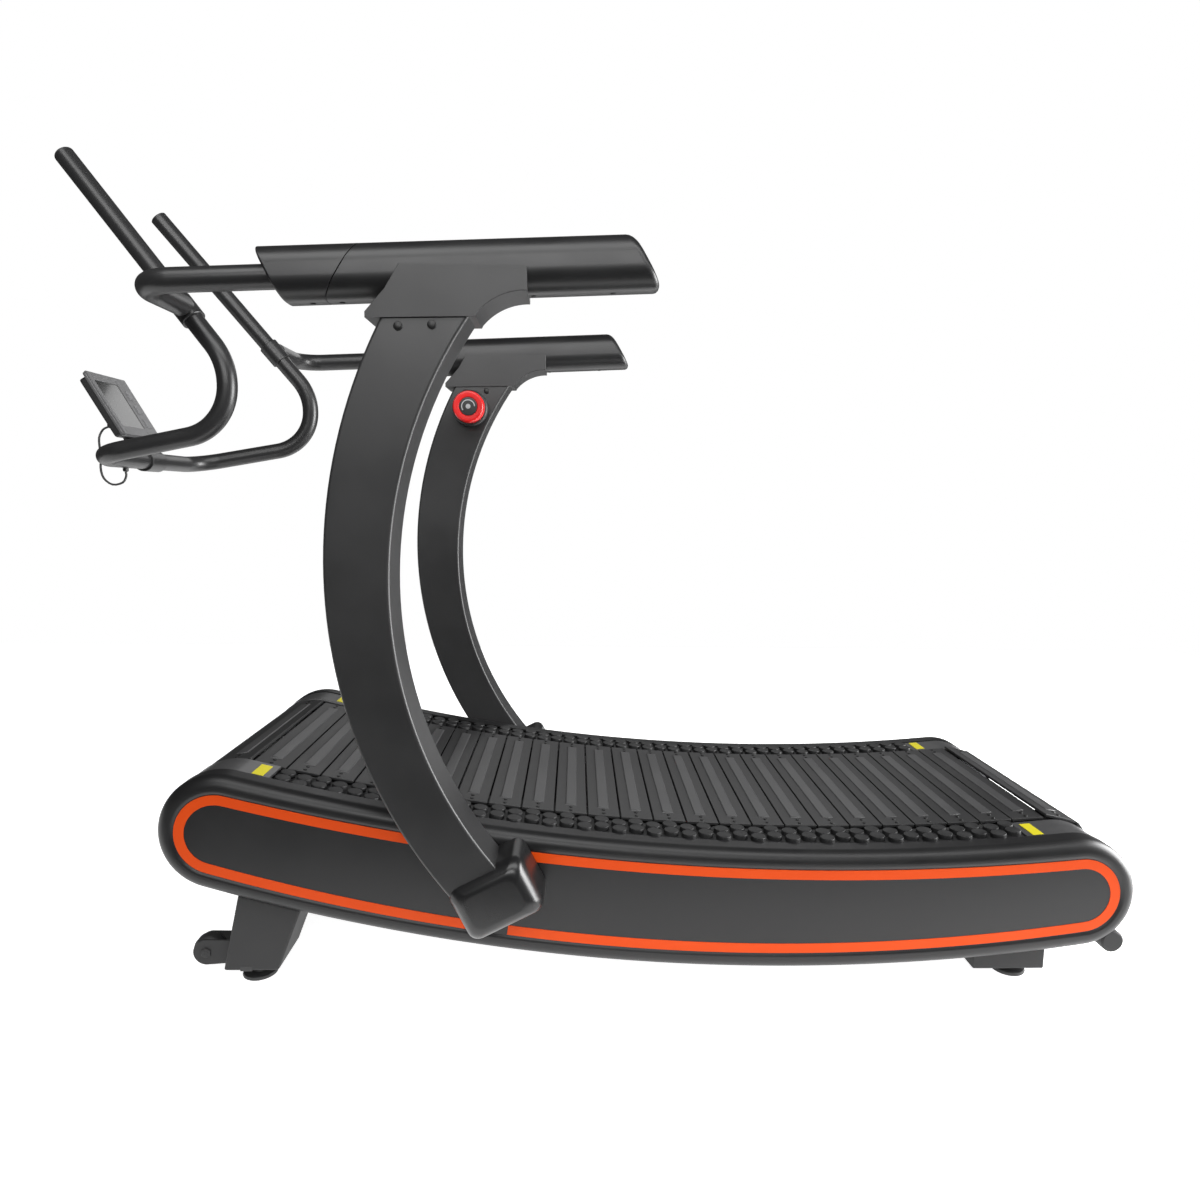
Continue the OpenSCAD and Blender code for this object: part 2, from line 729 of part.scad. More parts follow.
lift_c = [986, 74];
lift_d = 32;
module rear_lift_bar() {
  hook = rear_end + [20, -50];
  color(CHARCOAL) {
    rod_y(lift_c, -plate_y1 - 56, plate_y1 + 56, lift_d);
    both_sides() {
      rod_y(lift_c, plate_y1 + 56, plate_y1 + 84, 42);
      slab(plate_y1, plate_y1 + 6) {
        translate(lift_c) circle(26, $fn = SMOOTH);
        translate(hook) circle(26, $fn = SMOOTH);
        translate((lift_c + hook) / 2)
          rotate(dir_deg(lift_c, hook)) square([norm(lift_c - hook), 52], center = true);
      }
    }
  }
}

// ---------- uprights ----------
post_top_z = socket_z + 36;

// Side view of an upright, grown inward by the wall for its hollow
module post_shape(inset) {
  difference() {
    intersection() {
      translate(post_front_c) circle(post_front_r - inset, $fn = 360);
      polygon([
        [-700, post_top_z - inset], [100, post_top_z - inset], [100, 400],
        boot_c + [90, -10], boot_c + [-60, -62 + inset], [-700, 300]
      ]);
    }
    translate(post_rear_c) circle(post_rear_r + inset, $fn = 360);
  }
}

bolt_at = [[-289, 1134], [-238, 1137]];
bolt_d = 12;
bolt_head = [14, 3];
module upright(side) {
  color(CHARCOAL) on_side(side) difference() {
    slab(post_y0, post_y1) post_shape(0);
    slab(post_y0 + post_wall, post_y1 - post_wall) post_shape(post_wall);
    for (c = bolt_at) rod_y(c, post_y0 - 1, post_y1 + 1, bolt_d);
    if (side > 0) rod_y(knob_c, post_y0 - 1, post_y0 + post_wall + 1, 16);
  }
}

module boot_shape(grow) {
  translate(boot_c) rotate(boot_tilt) round_rect(boot_w + 2 * grow, boot_h + 2 * grow, 16 + grow);
}

module post_boots() {
  color(BLACK) both_sides() difference() {
    slab(post_y0 - 1.5, post_y1 + boot_out) boot_shape(0);
    slab(post_y0 - 3, post_y1 + 0.2) post_shape(-0.2);
    for (c = boss_at) rod_y(c, post_y0 - 3, post_y0, boss_d + 2);
    slab(post_y0 - 3, post_y1 + boot_out - 3) intersection() {
      boot_shape(-4);
      translate(boot_c + [0, -40]) rotate(boot_tilt) square([boot_w, 60], center = true);
    }
  }
}

module post_bolts() {
  color(STEEL) both_sides()
    for (c = bolt_at) {
      rod_y(c, post_y0, post_y1, bolt_d);
      rod_y(c, post_y0 - bolt_head[1], post_y0, bolt_head[0]);
      rod_y(c, post_y1, post_y1 + bolt_head[1], bolt_head[0]);
    }
}

// ---------- arms ----------
arm_c = [-150, arm_z];
arm_rise = tan(arm_slope);
function arm_line(x) = arm_z + arm_rise * (x - arm_c[0]);
nose_top_x = 66;
nose_low_x = 114;
seam_top_x = -349;
seam_low_x = -403;
sleeve_top_x = -508;
sleeve_low_x = -467;

// Rounded bar along the arm's sloping centre line
module arm_bar(x0, x1, inset) {
  translate([arm_c[0], post_y, arm_c[1]])
    rotate([0, -arm_slope, 0])
      translate([x0 - arm_c[0], 0, 0]) rotate([90, 0, 90])
        linear_extrude(x1 - x0)
          round_rect(post_w - 2 * inset, arm_h - 2 * inset, arm_round - inset);
}

// Side view limits of an arm piece: its two slanted ends
module arm_cut(top0, low0, top1, low1) {
  slab(post_y0 - 20, post_y1 + 20)
    polygon([
      [low0, arm_line(low0) - arm_h / 2], [top0, arm_line(top0) + arm_h / 2],
      [top0, arm_line(top0) + arm_h], [top1, arm_line(top1) + arm_h],
      [top1, arm_line(top1) + arm_h / 2], [low1, arm_line(low1) - arm_h / 2],
      [low1, arm_line(low1) - arm_h], [low0, arm_line(low0) - arm_h]
    ]);
}

fillet_r = 100;
module socket_shape(inset) {
  top = arm_z;
  difference() {
    polygon([
      [-338 + inset, socket_z - 3], [-172 - inset, socket_z + 2], [-150, socket_z + 42],
      [-94, socket_z + 42], [-94, top - inset], [-283 + inset, top - inset],
      [-308 + inset, socket_z + 40], [-338 + inset, socket_z + 6]
    ]);
    translate([-94, socket_z + 41 - fillet_r]) circle(fillet_r + inset, $fn = 180);
  }
}

arm_wall = 3;
module arm_shell(side) {
  color(CHARCOAL) on_side(side) difference() {
    union() {
      intersection() {
        arm_bar(-460, 160, 0);
        arm_cut(seam_top_x, seam_low_x, nose_top_x, nose_low_x);
      }
      slab(post_y0 - 4, post_y1 + 4) socket_shape(0);
    }
    intersection() {
      arm_bar(-460, 60, arm_wall);
      arm_cut(seam_top_x - 30, seam_low_x - 30, nose_top_x - 4, nose_low_x - 4);
    }
    slab(post_y0 - 0.3, post_y1 + 0.3) post_shape(-0.3);
    slab(post_y0 + 1, post_y1 - 1) socket_shape(arm_wall + 2);
    arm_screw_holes();
  }
}

module arm_sleeves() {
  color(CHARCOAL) both_sides() difference() {
    intersection() {
      arm_bar(-540, -340, 0);
      arm_cut(sleeve_top_x, sleeve_low_x, seam_top_x - 1, seam_low_x - 1);
    }
    intersection() {
      arm_bar(-530, -340, arm_wall);
      arm_cut(sleeve_top_x + 6, sleeve_low_x + 6, seam_top_x + 10, seam_low_x + 10);
    }
    along(arm_tube_points[0], arm_tube_points[1])
      translate([0, 0, -50]) cylinder(d = arm_tube_d + 0.4, h = 400, $fn = SMOOTH);
    arm_screw_holes();
  }
}

// On the underside of an arm at x, z pointing into the arm
module under_arm(x) {
  translate([x, post_y, arm_line(x)]) rotate([0, -arm_slope, 0]) translate([0, 0, -arm_h / 2]) children();
}

arm_screw_at = [-430, -385, -88, 36];
arm_screw_d = 4;
module arm_screw_holes() {
  for (x = arm_screw_at) under_arm(x) translate([0, 0, -1]) cylinder(d = arm_screw_d + 0.4, h = arm_wall + 2, $fn = 24);
}

module arm_screws() {
  color(BLACK) both_sides()
    for (x = arm_screw_at) under_arm(x) {
      translate([0, 0, -1]) cylinder(d = arm_screw_d, h = 9, $fn = 24);
      translate([0, 0, -1.6]) cylinder(d = 9, h = 1.5, $fn = 24);
    }
}

// ---------- handlebar and its carriers ----------
bar_r = bar_d / 2;
crossbar = [-885, 943];
bar_side = [
  [-919, tip_y, tip_z], [-630, loop_y, 1109], [-630, loop_y, 993], [crossbar[0], loop_y - 27, crossbar[1]]
];
bar_points = concat(bar_side, [for (i = [3 : -1 : 0]) [bar_side[i][0], -bar_side[i][1], bar_side[i][2]]]);
bar_radii = [105, 92, 66, 66, 92, 105];

clamp_share = 0.245;
clamp_at = bar_side[0] + (1 - clamp_share) * (bar_side[1] - bar_side[0]);
arm_tube_x = clamp_at[0];
arm_tube_points = [
  [-300, post_y, arm_line(-300)],
  [arm_tube_x, post_y, arm_line(arm_tube_x)],
  [arm_tube_x, clamp_at[1] + bar_r + 4, arm_line(arm_tube_x)]
];

module handlebar() {
  color(CHARCOAL) bent_tube(bar_points, bar_radii, bar_r, bar_wall);
}

module horn_caps() {
  color(BLACK) both_sides() {
    out = unit(bar_side[0] - bar_side[1]);
    along(bar_side[0], bar_side[0] + out) cylinder(r = bar_r, h = 4, $fn = SMOOTH);
    along(bar_side[0] - 14 * out, bar_side[0]) cylinder(r = bar_r - bar_wall, h = 14, $fn = SMOOTH);
  }
}

module arm_tubes() {
  color(CHARCOAL) both_sides()
    bent_tube(arm_tube_points, [58], arm_tube_d / 2, 3);
}

clamp_len = 44;
clamp_wall = 4;
module bar_clamps() {
  run = unit(bar_side[1] - bar_side[0]);
  color(CHARCOAL) both_sides() difference() {
    along(clamp_at - clamp_len / 2 * run, clamp_at) cylinder(r = bar_r + clamp_wall, h = clamp_len, $fn = SMOOTH);
    along(clamp_at - clamp_len * run, clamp_at) cylinder(r = bar_r + fit, h = 2 * clamp_len, $fn = SMOOTH);
    translate(arm_tube_points[2]) rotate([90, 0, 0]) translate([0, 0, -30])
      cylinder(d = arm_tube_d + 0.2, h = 30, $fn = SMOOTH);
  }
}

// ---------- console ----------
console_at = [-894, 0, 992];
bezel_t = 9;
case_t = 15;
window = [80, 100];
window_at = [-16, 70];
key_size = [18, 20];
key_y = 46;
key_z = [34, 66, 98];
key_proud = 1.5;

// Console frame: x out of the face, z up the face
module at_console() {
  translate(console_at) rotate([0, -console_lean, 0]) children();
}

// From one side to the other of something centred at c
function span(c, w) = [c - w / 2, c + w / 2];

module box_xyz(x, y, z) {
  translate([x[0], y[0], z[0]]) cube([x[1] - x[0], y[1] - y[0], z[1] - z[0]]);
}

module plate_yz(x0, x1, w, h, r) {
  translate([x0, 0, h / 2]) rotate([90, 0, 90]) linear_extrude(x1 - x0) round_rect(w, h, r);
}

module console_bezel() {
  color(CHARCOAL) at_console() difference() {
    plate_yz(-bezel_t, 0, console_w, console_h, 6);
    translate([-bezel_t, 0, 0])
      box_xyz([-1, bezel_t - 3], [-console_w / 2 + 4, console_w / 2 - 4], [4, console_h - 4]);
    box_xyz([-20, 1], span(window_at[0], window[0]), span(window_at[1], window[1]));
    for (z = key_z)
      box_xyz([-20, 1], span(key_y, key_size[0] + 2 * clear), span(z, key_size[1] + 2 * clear));
  }
}

module console_screen() {
  color(BLACK) at_console()
    box_xyz([-bezel_t + 3, -1.2], span(window_at[0], window[0] - 0.2), span(window_at[1], window[1] - 0.2));
}

module console_case() {
  x0 = -bezel_t - case_t;
  color(BLACK) at_console() difference() {
    translate([0, 0, 6]) plate_yz(x0, -bezel_t, console_w - 12, console_h - 12, 6);
    box_xyz([x0 + 3, -bezel_t - 3], [-console_w / 2 + 9, console_w / 2 - 9], [9, console_h - 9]);
    case_gland_axis() translate([0, 0, -6]) cylinder(d = 8, h = 12, $fn = SMOOTH);
  }
}

module console_key(i) {
  color(SLATE) at_console()
    box_xyz([-bezel_t + 4, key_proud], span(key_y, key_size[0]), span(key_z[i], key_size[1]));
}

neck_w = 56;
module console_bracket() {
  back = -bezel_t - case_t;
  color(CHARCOAL) {
    at_console() box_xyz([back - 3, back], [-neck_w / 2, neck_w / 2], [-14, 64]);
    difference() {
      union() {
        rod_y(crossbar, -neck_w / 2, neck_w / 2, bar_d + 8);
        slab(-neck_w / 2, neck_w / 2) polygon([
          crossbar + [-19, 6], crossbar + [12, 14], [-897, 974], [-903, 981], [-917, 981.5]
        ]);
      }
      rod_y(crossbar, -neck_w, neck_w, bar_d);
    }
  }
}

// ---------- console cable ----------
cable_d = 4;
cable_points = [
  [-936.4, -50, 1006.7], [-946, -52, 1001], [-951, -58, 985], [-944, -70, 962], [-934, -85, 944],
  [-930, -96, 926], [-922, -102, 906], [-906, -102, 894], [-889, -98, 898], [-885, -92, 910], [-885, -92, 918.8]
];
case_gland_at = [-bezel_t - case_t, -50, 34];
bar_gland_at = [crossbar[0], -92, crossbar[1] - bar_r];

module case_gland_axis() {
  translate(case_gland_at) rotate([0, -90, 0]) children();
}

function spline(points, steps) = [
  for (i = [0 : len(points) - 2], k = [0 : steps - 1])
    let (
      p0 = points[max(i - 1, 0)], p1 = points[i], p2 = points[i + 1],
      p3 = points[min(i + 2, len(points) - 1)], t = k / steps
    )
    0.5 * (2 * p1 + (p2 - p0) * t + (2 * p0 - 5 * p1 + 4 * p2 - p3) * t * t
      + (3 * p1 - p0 - 3 * p2 + p3) * t * t * t),
  points[len(points) - 1]
];

module swept_cord(points, d, sides = 8) {
  n = len(points);
  rings = [
    for (i = [0 : n - 1])
      let (
        dir = unit(points[min(i + 1, n - 1)] - points[max(i - 1, 0)]),
        side = unit(cross(dir, [0.3, 1, 0.1])),
        up = cross(side, dir)
      )
      for (k = [0 : sides - 1]) points[i] + d / 2 * (cos(k * 360 / sides) * side + sin(k * 360 / sides) * up)
  ];
  walls = [
    for (i = [0 : n - 2], k = [0 : sides - 1])
      [i * sides + k, i * sides + (k + 1) % sides, (i + 1) * sides + (k + 1) % sides, (i + 1) * sides + k]
  ];
  ends = [[for (k = [sides - 1 : -1 : 0]) k], [for (k = [0 : sides - 1]) (n - 1) * sides + k]];
  polyhedron(rings, concat(walls, ends), convexity = 4);
}

module console_cable() {
  color(BLACK) swept_cord(spline(cable_points, 5), cable_d);
}

module cable_glands() {
  color(BLACK) {
    at_console() case_gland_axis() cylinder(d = 10, h = 5, $fn = SMOOTH);
    translate(bar_gland_at + [0, 0, -7]) cylinder(d = 10, h = 7, $fn = SMOOTH);
  }
}

// ---------- resistance knob ----------
knob_c = [-277, 1094];
knob_base_d = 86;
knob_base_h = 22;
module knob_base() {
  color(BLACK) difference() {
    rod_y(knob_c, post_y0 - knob_base_h, post_y0, knob_base_d);
    rod_y(knob_c, post_y0 - knob_base_h - 1, post_y0 + 1, rod_d + 2 * fit);
    for (c = bolt_at) rod_y(c, post_y0 - bolt_head[1] - 1, post_y0 + 1, bolt_head[0] + 1);
  }
}

module resistance_knob() {
  face = post_y0 - knob_base_h - clear;
  color(RED) {
    rod_y(knob_c, face - knob_h, face, knob_d);
    rod_y(knob_c, face, post_y0 + post_wall + 8, rod_d);
  }
}

// The origin is on the floor under the middle of the whole length
mid_x = (console_at[0] - (bezel_t + case_t) * cos(console_lean) - console_h * sin(console_lean)
  + rear_end[0] + end_r(rear_x)) / 2;

translate([-mid_x, 0, 0]) {
  side_frame(-1);  // side_frame_left
  side_frame(1);  // side_frame_right
  cross_tubes();
  axle_rods();
  drum_bearings();
  side_cover(-1);  // side_cover_left
  side_cover(1);  // side_cover_right
  trim_stripes();
  foot_rails();
  grip_studs();
  rail_end_covers();
  caution_plates();
  belt_slats();
  belt_straps();
  slat_screws();
  drum(front_c);  // front_drum
  drum(rear_c);  // rear_drum
  brake_disc();
  magnet_yoke();
  brake_cable();
  guide_roller(0);  // guide_roller_1
  guide_roller(1);  // guide_roller_2
  guide_roller(2);  // guide_roller_3
  guide_roller(3);  // guide_roller_4
  guide_roller(4);  // guide_roller_5
  guide_roller(5);  // guide_roller_6
  leg(-1);  // leg_left
  leg(1);  // leg_right
  wheel_brackets();
  transport_wheel(-1);  // transport_wheel_left
  transport_wheel(1);  // transport_wheel_right
  foot(front_foot_x, -1);  // foot_front_left
  foot(front_foot_x, 1);  // foot_front_right
  foot(rear_foot_x, -1);  // foot_rear_left
  foot(rear_foot_x, 1);  // foot_rear_right
  rear_foot_brackets();
  rear_lift_bar();
  upright(-1);  // upright_left
  upright(1);  // upright_right
  post_boots();
  post_bolts();
  arm_shell(-1);  // arm_shell_left
  arm_shell(1);  // arm_shell_right
  arm_sleeves();
  arm_screws();
  arm_tubes();
  bar_clamps();
  handlebar();
  horn_caps();
  console_bracket();
  console_case();
  console_bezel();
  console_screen();
  console_key(0);  // console_key_1
  console_key(1);  // console_key_2
  console_key(2);  // console_key_3
  console_cable();
  cable_glands();
  knob_base();
  resistance_knob();
}
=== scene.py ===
"""A curved manual treadmill: its finishes and finely shaped pieces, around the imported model.

Lengths are metres. The console end is -X, the rear end +X, a runner's left -Y, and +Z is up. Sizes
are written from the maker's own zero line along the machine, and Mould.publish carries each piece
into the row frame.
"""

import logging
import math
from dataclasses import dataclass, field
from enum import Enum
from typing import Callable, Iterable, Sequence

import bmesh
import bpy
from mathutils import Matrix, Vector

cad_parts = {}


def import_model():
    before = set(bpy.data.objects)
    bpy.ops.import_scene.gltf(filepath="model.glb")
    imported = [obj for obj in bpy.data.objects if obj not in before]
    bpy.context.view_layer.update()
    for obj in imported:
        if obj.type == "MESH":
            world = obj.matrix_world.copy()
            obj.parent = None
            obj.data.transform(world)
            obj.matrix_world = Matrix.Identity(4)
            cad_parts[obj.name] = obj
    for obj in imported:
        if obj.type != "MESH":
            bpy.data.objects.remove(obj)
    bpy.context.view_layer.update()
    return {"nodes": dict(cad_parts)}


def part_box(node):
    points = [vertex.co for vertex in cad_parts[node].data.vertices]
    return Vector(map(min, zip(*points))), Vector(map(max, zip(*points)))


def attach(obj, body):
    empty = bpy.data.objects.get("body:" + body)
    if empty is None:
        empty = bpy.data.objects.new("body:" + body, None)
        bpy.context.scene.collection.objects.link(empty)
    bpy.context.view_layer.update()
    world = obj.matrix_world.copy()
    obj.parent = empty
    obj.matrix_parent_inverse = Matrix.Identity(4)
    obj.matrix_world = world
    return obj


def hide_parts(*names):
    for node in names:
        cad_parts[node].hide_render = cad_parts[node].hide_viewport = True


Point2 = tuple[float, float]
Point3 = tuple[float, float, float]
Colour = tuple[float, float, float]

log = logging.getLogger("treadmill")
WHEEL_X = -0.684  # the transport wheels' place from the maker's zero line
SIDES = (-1, 1)


class Side(Enum):
    """A side of the machine, as its runner sees it."""

    LEFT = -1
    RIGHT = 1

    @property
    def word(self) -> str:
        """The side's name as the nodes spell it."""
        return self.name.lower()


# ---------------------------------------------------------------- shader building


class Wire:
    """A node socket that Python's own operators can be used on."""

    def __init__(self, shader: "Shader", socket: bpy.types.NodeSocket) -> None:
        """Keeps the socket and the shader it belongs to."""
        self.shader = shader
        self.socket = socket

    def _math(self, operation: str, *terms: "Wire | float") -> "Wire":
        """Adds a Math node over the given terms."""
        made = self.shader.node(
            "ShaderNodeMath", {"operation": operation}, dict(enumerate(terms))
        )
        return Wire(self.shader, made.outputs[0])

    def __add__(self, other: "Wire | float") -> "Wire":
        """self + other."""
        return self._math("ADD", self, other)

    __radd__ = __add__

    def __mul__(self, other: "Wire | float") -> "Wire":
        """self * other."""
        return self._math("MULTIPLY", self, other)

    __rmul__ = __mul__

    def __sub__(self, other: "Wire | float") -> "Wire":
        """self - other."""
        return self._math("SUBTRACT", self, other)

    def __rsub__(self, other: float) -> "Wire":
        """other - self."""
        return self._math("SUBTRACT", other, self)

    def __truediv__(self, other: "Wire | float") -> "Wire":
        """self / other."""
        return self._math("DIVIDE", self, other)

    def __pow__(self, other: "Wire | float") -> "Wire":
        """self to the power of other."""
        return self._math("POWER", self, other)

    def over(self, low: float, high: float) -> "Wire":
        """A smooth step from 0 at low to 1 at high."""
        made = self.shader.node(
            "ShaderNodeMapRange",
            {"interpolation_type": "SMOOTHSTEP"},
            {"Value": self, "From Min": low, "From Max": high},
        )
        return Wire(self.shader, made.outputs["Result"])


class Shader:
    """One material's node tree under construction."""

    def __init__(self, name: str) -> None:
        """Starts an empty material.

        Args:
            name: The material's name.
        """
        self.material = bpy.data.materials.new(name)
        self.material.use_nodes = True
        self.tree = self.material.node_tree
        self.tree.nodes.clear()
        self.object_space = Wire(self, self.node("ShaderNodeTexCoord").outputs["Object"])

    def node(
        self,
        kind: str,
        settings: dict[str, object] | None = None,
        sockets: dict[str | int, object] | None = None,
    ) -> bpy.types.Node:
        """Adds a node.

        Args:
            kind: The node's type.
            settings: Its own properties, set first; "stops" fills a colour ramp.
            sockets: Values or wires for its input sockets.

        Returns:
            The new node.
        """
        made = self.tree.nodes.new(kind)
        for key, value in (settings or {}).items():
            if key == "stops":
                for stop, (place, colour) in zip(self._stops(made, len(value)), value):
                    stop.position = place
                    stop.color = (*colour, 1.0)
            else:
                setattr(made, key, value)
        for key, value in (sockets or {}).items():
            if isinstance(value, Wire):
                self.tree.links.new(value.socket, made.inputs[key])
            else:
                made.inputs[key].default_value = value
        return made

    @staticmethod
    def _stops(ramp: bpy.types.Node, count: int) -> list[bpy.types.ColorRampElement]:
        """A colour ramp's stops, as many as asked for."""
        while len(ramp.color_ramp.elements) < count:
            ramp.color_ramp.elements.new(1.0)
        return list(ramp.color_ramp.elements)

    def placed(self, scale: Point3, turn: Point3 = (0, 0, 0)) -> Wire:
        """Object coordinates, stretched and turned."""
        made = self.node(
            "ShaderNodeMapping",
            {},
            {"Vector": self.object_space, "Scale": scale, "Rotation": turn},
        )
        return Wire(self, made.outputs["Vector"])

    def noise(self, scale: float, detail: float = 2.0, where: Wire | None = None) -> Wire:
        """Soft noise from 0 to 1.

        Args:
            scale: How many features there are per metre.
            detail: How many finer layers are added.
            where: The coordinates to read, or the object's own.

        Returns:
            The noise's value.
        """
        made = self.node(
            "ShaderNodeTexNoise",
            {},
            {
                "Vector": where or self.object_space,
                "Scale": scale,
                "Detail": detail,
                "Roughness": 0.55,
            },
        )
        return Wire(self, made.outputs["Fac"])

    def cells(self, scale: float) -> Wire:
        """Distance to the nearest of many scattered points."""
        made = self.node(
            "ShaderNodeTexVoronoi",
            {"feature": "SMOOTH_F1"},
            {"Vector": self.object_space, "Scale": scale, "Smoothness": 0.6},
        )
        return Wire(self, made.outputs["Distance"])

    def upward(self) -> Wire:
        """How far the surface faces up, from -1 to 1."""
        normal = Wire(self, self.node("ShaderNodeNewGeometry").outputs["Normal"])
        made = self.node("ShaderNodeSeparateXYZ", {}, {"Vector": normal})
        return Wire(self, made.outputs["Z"])

    def place(self, axis: str) -> Wire:
        """One of the object coordinates."""
        made = self.node("ShaderNodeSeparateXYZ", {}, {"Vector": self.object_space})
        return Wire(self, made.outputs[axis])

    def mix(self, low: object, high: object, share: "Wire | float") -> Wire:
        """A colour between two."""
        made = self.node(
            "ShaderNodeMix",
            {"data_type": "RGBA"},
            {
                "Factor": share,
                6: low if isinstance(low, Wire) else (*low, 1.0),
                7: high if isinstance(high, Wire) else (*high, 1.0),
            },
        )
        return Wire(self, made.outputs[2])

    def bump(self, height: Wire, depth: float, strength: float = 1.0) -> Wire:
        """A normal from a height.

        Args:
            height: The relief, from 0 to 1.
            depth: Its full height.
            strength: Its share.

        Returns:
            The bent normal.
        """
        made = self.node(
            "ShaderNodeBump",
            {},
            {"Height": height, "Distance": depth, "Strength": strength},
        )
        return Wire(self, made.outputs["Normal"])

    def finish(self, sockets: dict[str, object]) -> bpy.types.Material:
        """Ends the material with one principled surface.

        Args:
            sockets: Values or wires for the surface's sockets.

        Returns:
            The finished material.
        """
        surface = self.node("ShaderNodeBsdfPrincipled", {}, sockets)
        shown = Wire(self, surface.outputs["BSDF"])
        self.node("ShaderNodeOutputMaterial", {}, {"Surface": shown})
        return self.material


class Grain(Enum):
    """The fine relief of a finish."""

    PEEL = "orange peel of powder coat"
    LEATHER = "eroded texture of moulded plastic"
    RUBBER = "pores of moulded rubber"
    SMOOTH = "slow waves of a polished moulding"
    ALONG_X = "brush lines along X"
    ALONG_Y = "brush lines along Y"
    ALONG_Z = "brush lines along Z"


@dataclass(frozen=True)
class Finish:
    """A surface finish: colour, its slow variation, gloss and fine relief."""

    name: str
    colour: Colour
    shade: Colour
    roughness: float
    spread: float = 0.08
    metallic: float = 0.0
    coat: float = 0.0
    coat_roughness: float = 0.12
    specular: float = 0.5
    patch: float = 7.0
    grain: Grain = Grain.PEEL
    grain_scale: float = 900.0
    depth: float = 0.00004
    dust: float = 0.0

    def relief(self, shader: Shader) -> Wire:
        """The fine relief's height, from 0 to 1."""
        if self.grain is Grain.LEATHER:
            return shader.cells(self.grain_scale) + 0.5 * shader.noise(self.grain_scale * 0.6)
        if self.grain is Grain.RUBBER:
            pores = shader.noise(self.grain_scale * 2.5, 1.0)
            return shader.noise(self.grain_scale, 3.0) + 0.4 * pores
        stretch = {
            Grain.ALONG_X: (0.03, 1, 1),
            Grain.ALONG_Y: (1, 0.03, 1),
            Grain.ALONG_Z: (1, 1, 0.03),
        }.get(self.grain, (1, 1, 1))
        detail = 0.0 if self.grain is Grain.SMOOTH else 2.0
        return shader.noise(self.grain_scale, detail, shader.placed(stretch))

    def build(self) -> bpy.types.Material:
        """Makes the finish's material."""
        shader = Shader(self.name)
        slow = shader.noise(self.patch, 3.0).over(0.3, 0.7)
        relief = self.relief(shader)
        colour = shader.mix(self.colour, self.shade, slow * 0.7 + relief * 0.3)
        rough = slow * self.spread + relief * (self.spread * 0.6) + (self.roughness - self.spread)
        if self.dust:
            settled = shader.upward().over(0.4, 1.0) * shader.noise(60.0, 4.0).over(0.35, 0.75)
            pale = tuple(min(1.0, c + 0.16) for c in self.colour)
            colour = shader.mix(colour, pale, settled * self.dust)
            rough = rough + settled * (self.dust * 0.3)
        return shader.finish(
            {
                "Base Color": colour,
                "Roughness": rough,
                "Metallic": self.metallic,
                "Specular IOR Level": self.specular,
                "Coat Weight": self.coat,
                "Coat Roughness": self.coat_roughness,
                "Normal": shader.bump(relief, self.depth),
            }
        )


POWDER_BLACK = Finish("powder_black", (0.030, 0.030, 0.031), (0.038, 0.038, 0.039), 0.42, grain_scale=700)
POST_PAINT = Finish(
    "post_paint", (0.020, 0.020, 0.0205), (0.024, 0.024, 0.0245), 0.42, grain_scale=620, depth=0.00002
)
LEG_PAINT = Finish(
    "leg_paint", (0.034, 0.034, 0.0345), (0.040, 0.040, 0.0405), 0.55, grain_scale=650, depth=0.00002,
    specular=0.15,
)
BAR_PAINT = Finish(
    "bar_paint", (0.018, 0.018, 0.0185), (0.021, 0.021, 0.0215), 0.36, 0.04,
    grain=Grain.SMOOTH, grain_scale=60, depth=0.00001,
)
COVER_GLOSS = Finish(
    "cover_gloss", (0.008, 0.008, 0.0085), (0.011, 0.011, 0.0115), 0.40, 0.05,
    specular=0.4, grain=Grain.SMOOTH, grain_scale=30, depth=0.00003,
)
STRIPE_PAINT = Finish(
    "stripe_paint", (0.64, 0.062, 0.0015), (0.62, 0.056, 0.0015), 0.5, 0.06,
    specular=0.2, grain=Grain.PEEL, grain_scale=500, depth=0.00001,
)
RAIL_PLASTIC = Finish(
    "rail_plastic", (0.012, 0.012, 0.0125), (0.018, 0.018, 0.0185), 0.6,
    grain=Grain.LEATHER, grain_scale=900, depth=0.00004,
)
STUD_RUBBER = Finish(
    "stud_rubber", (0.008, 0.008, 0.0085), (0.013, 0.013, 0.0135), 0.5, 0.12,
    patch=30, grain=Grain.RUBBER, grain_scale=1400, depth=0.00004, dust=0.04,
)
END_PLASTIC = Finish(
    "end_plastic", (0.045, 0.045, 0.046), (0.055, 0.055, 0.056), 0.34, 0.06,
    coat=0.15, grain=Grain.SMOOTH, grain_scale=45, depth=0.00004, dust=0.05,
)
CAUTION_PAINT = Finish(
    "caution_paint", (0.62, 0.55, 0.012), (0.55, 0.48, 0.010), 0.45,
    grain=Grain.PEEL, grain_scale=800, depth=0.00001,
)
STRAP_RUBBER = Finish(
    "strap_rubber", (0.012, 0.012, 0.012), (0.02, 0.02, 0.02), 0.7,
    grain=Grain.RUBBER, grain_scale=900, depth=0.0001,
)
SCREW_BLACK = Finish(
    "screw_black", (0.008, 0.008, 0.008), (0.014, 0.014, 0.014), 0.42, metallic=0.3,
    grain_scale=1500, depth=0.00002,
)
TURNED_METAL = Finish(
    "turned_metal", (0.52, 0.52, 0.53), (0.44, 0.44, 0.45), 0.3, 0.1, metallic=1.0,
    grain=Grain.ALONG_X, grain_scale=900, depth=0.00003,
)
ROLLER_NYLON = Finish(
    "roller_nylon", (0.32, 0.32, 0.32), (0.27, 0.27, 0.27), 0.5, grain=Grain.RUBBER, depth=0.00003
)
WHEEL_RUBBER = Finish(
    "wheel_rubber", (0.014, 0.014, 0.0145), (0.026, 0.026, 0.0265), 0.62,
    grain=Grain.RUBBER, grain_scale=1200, depth=0.0001,
)
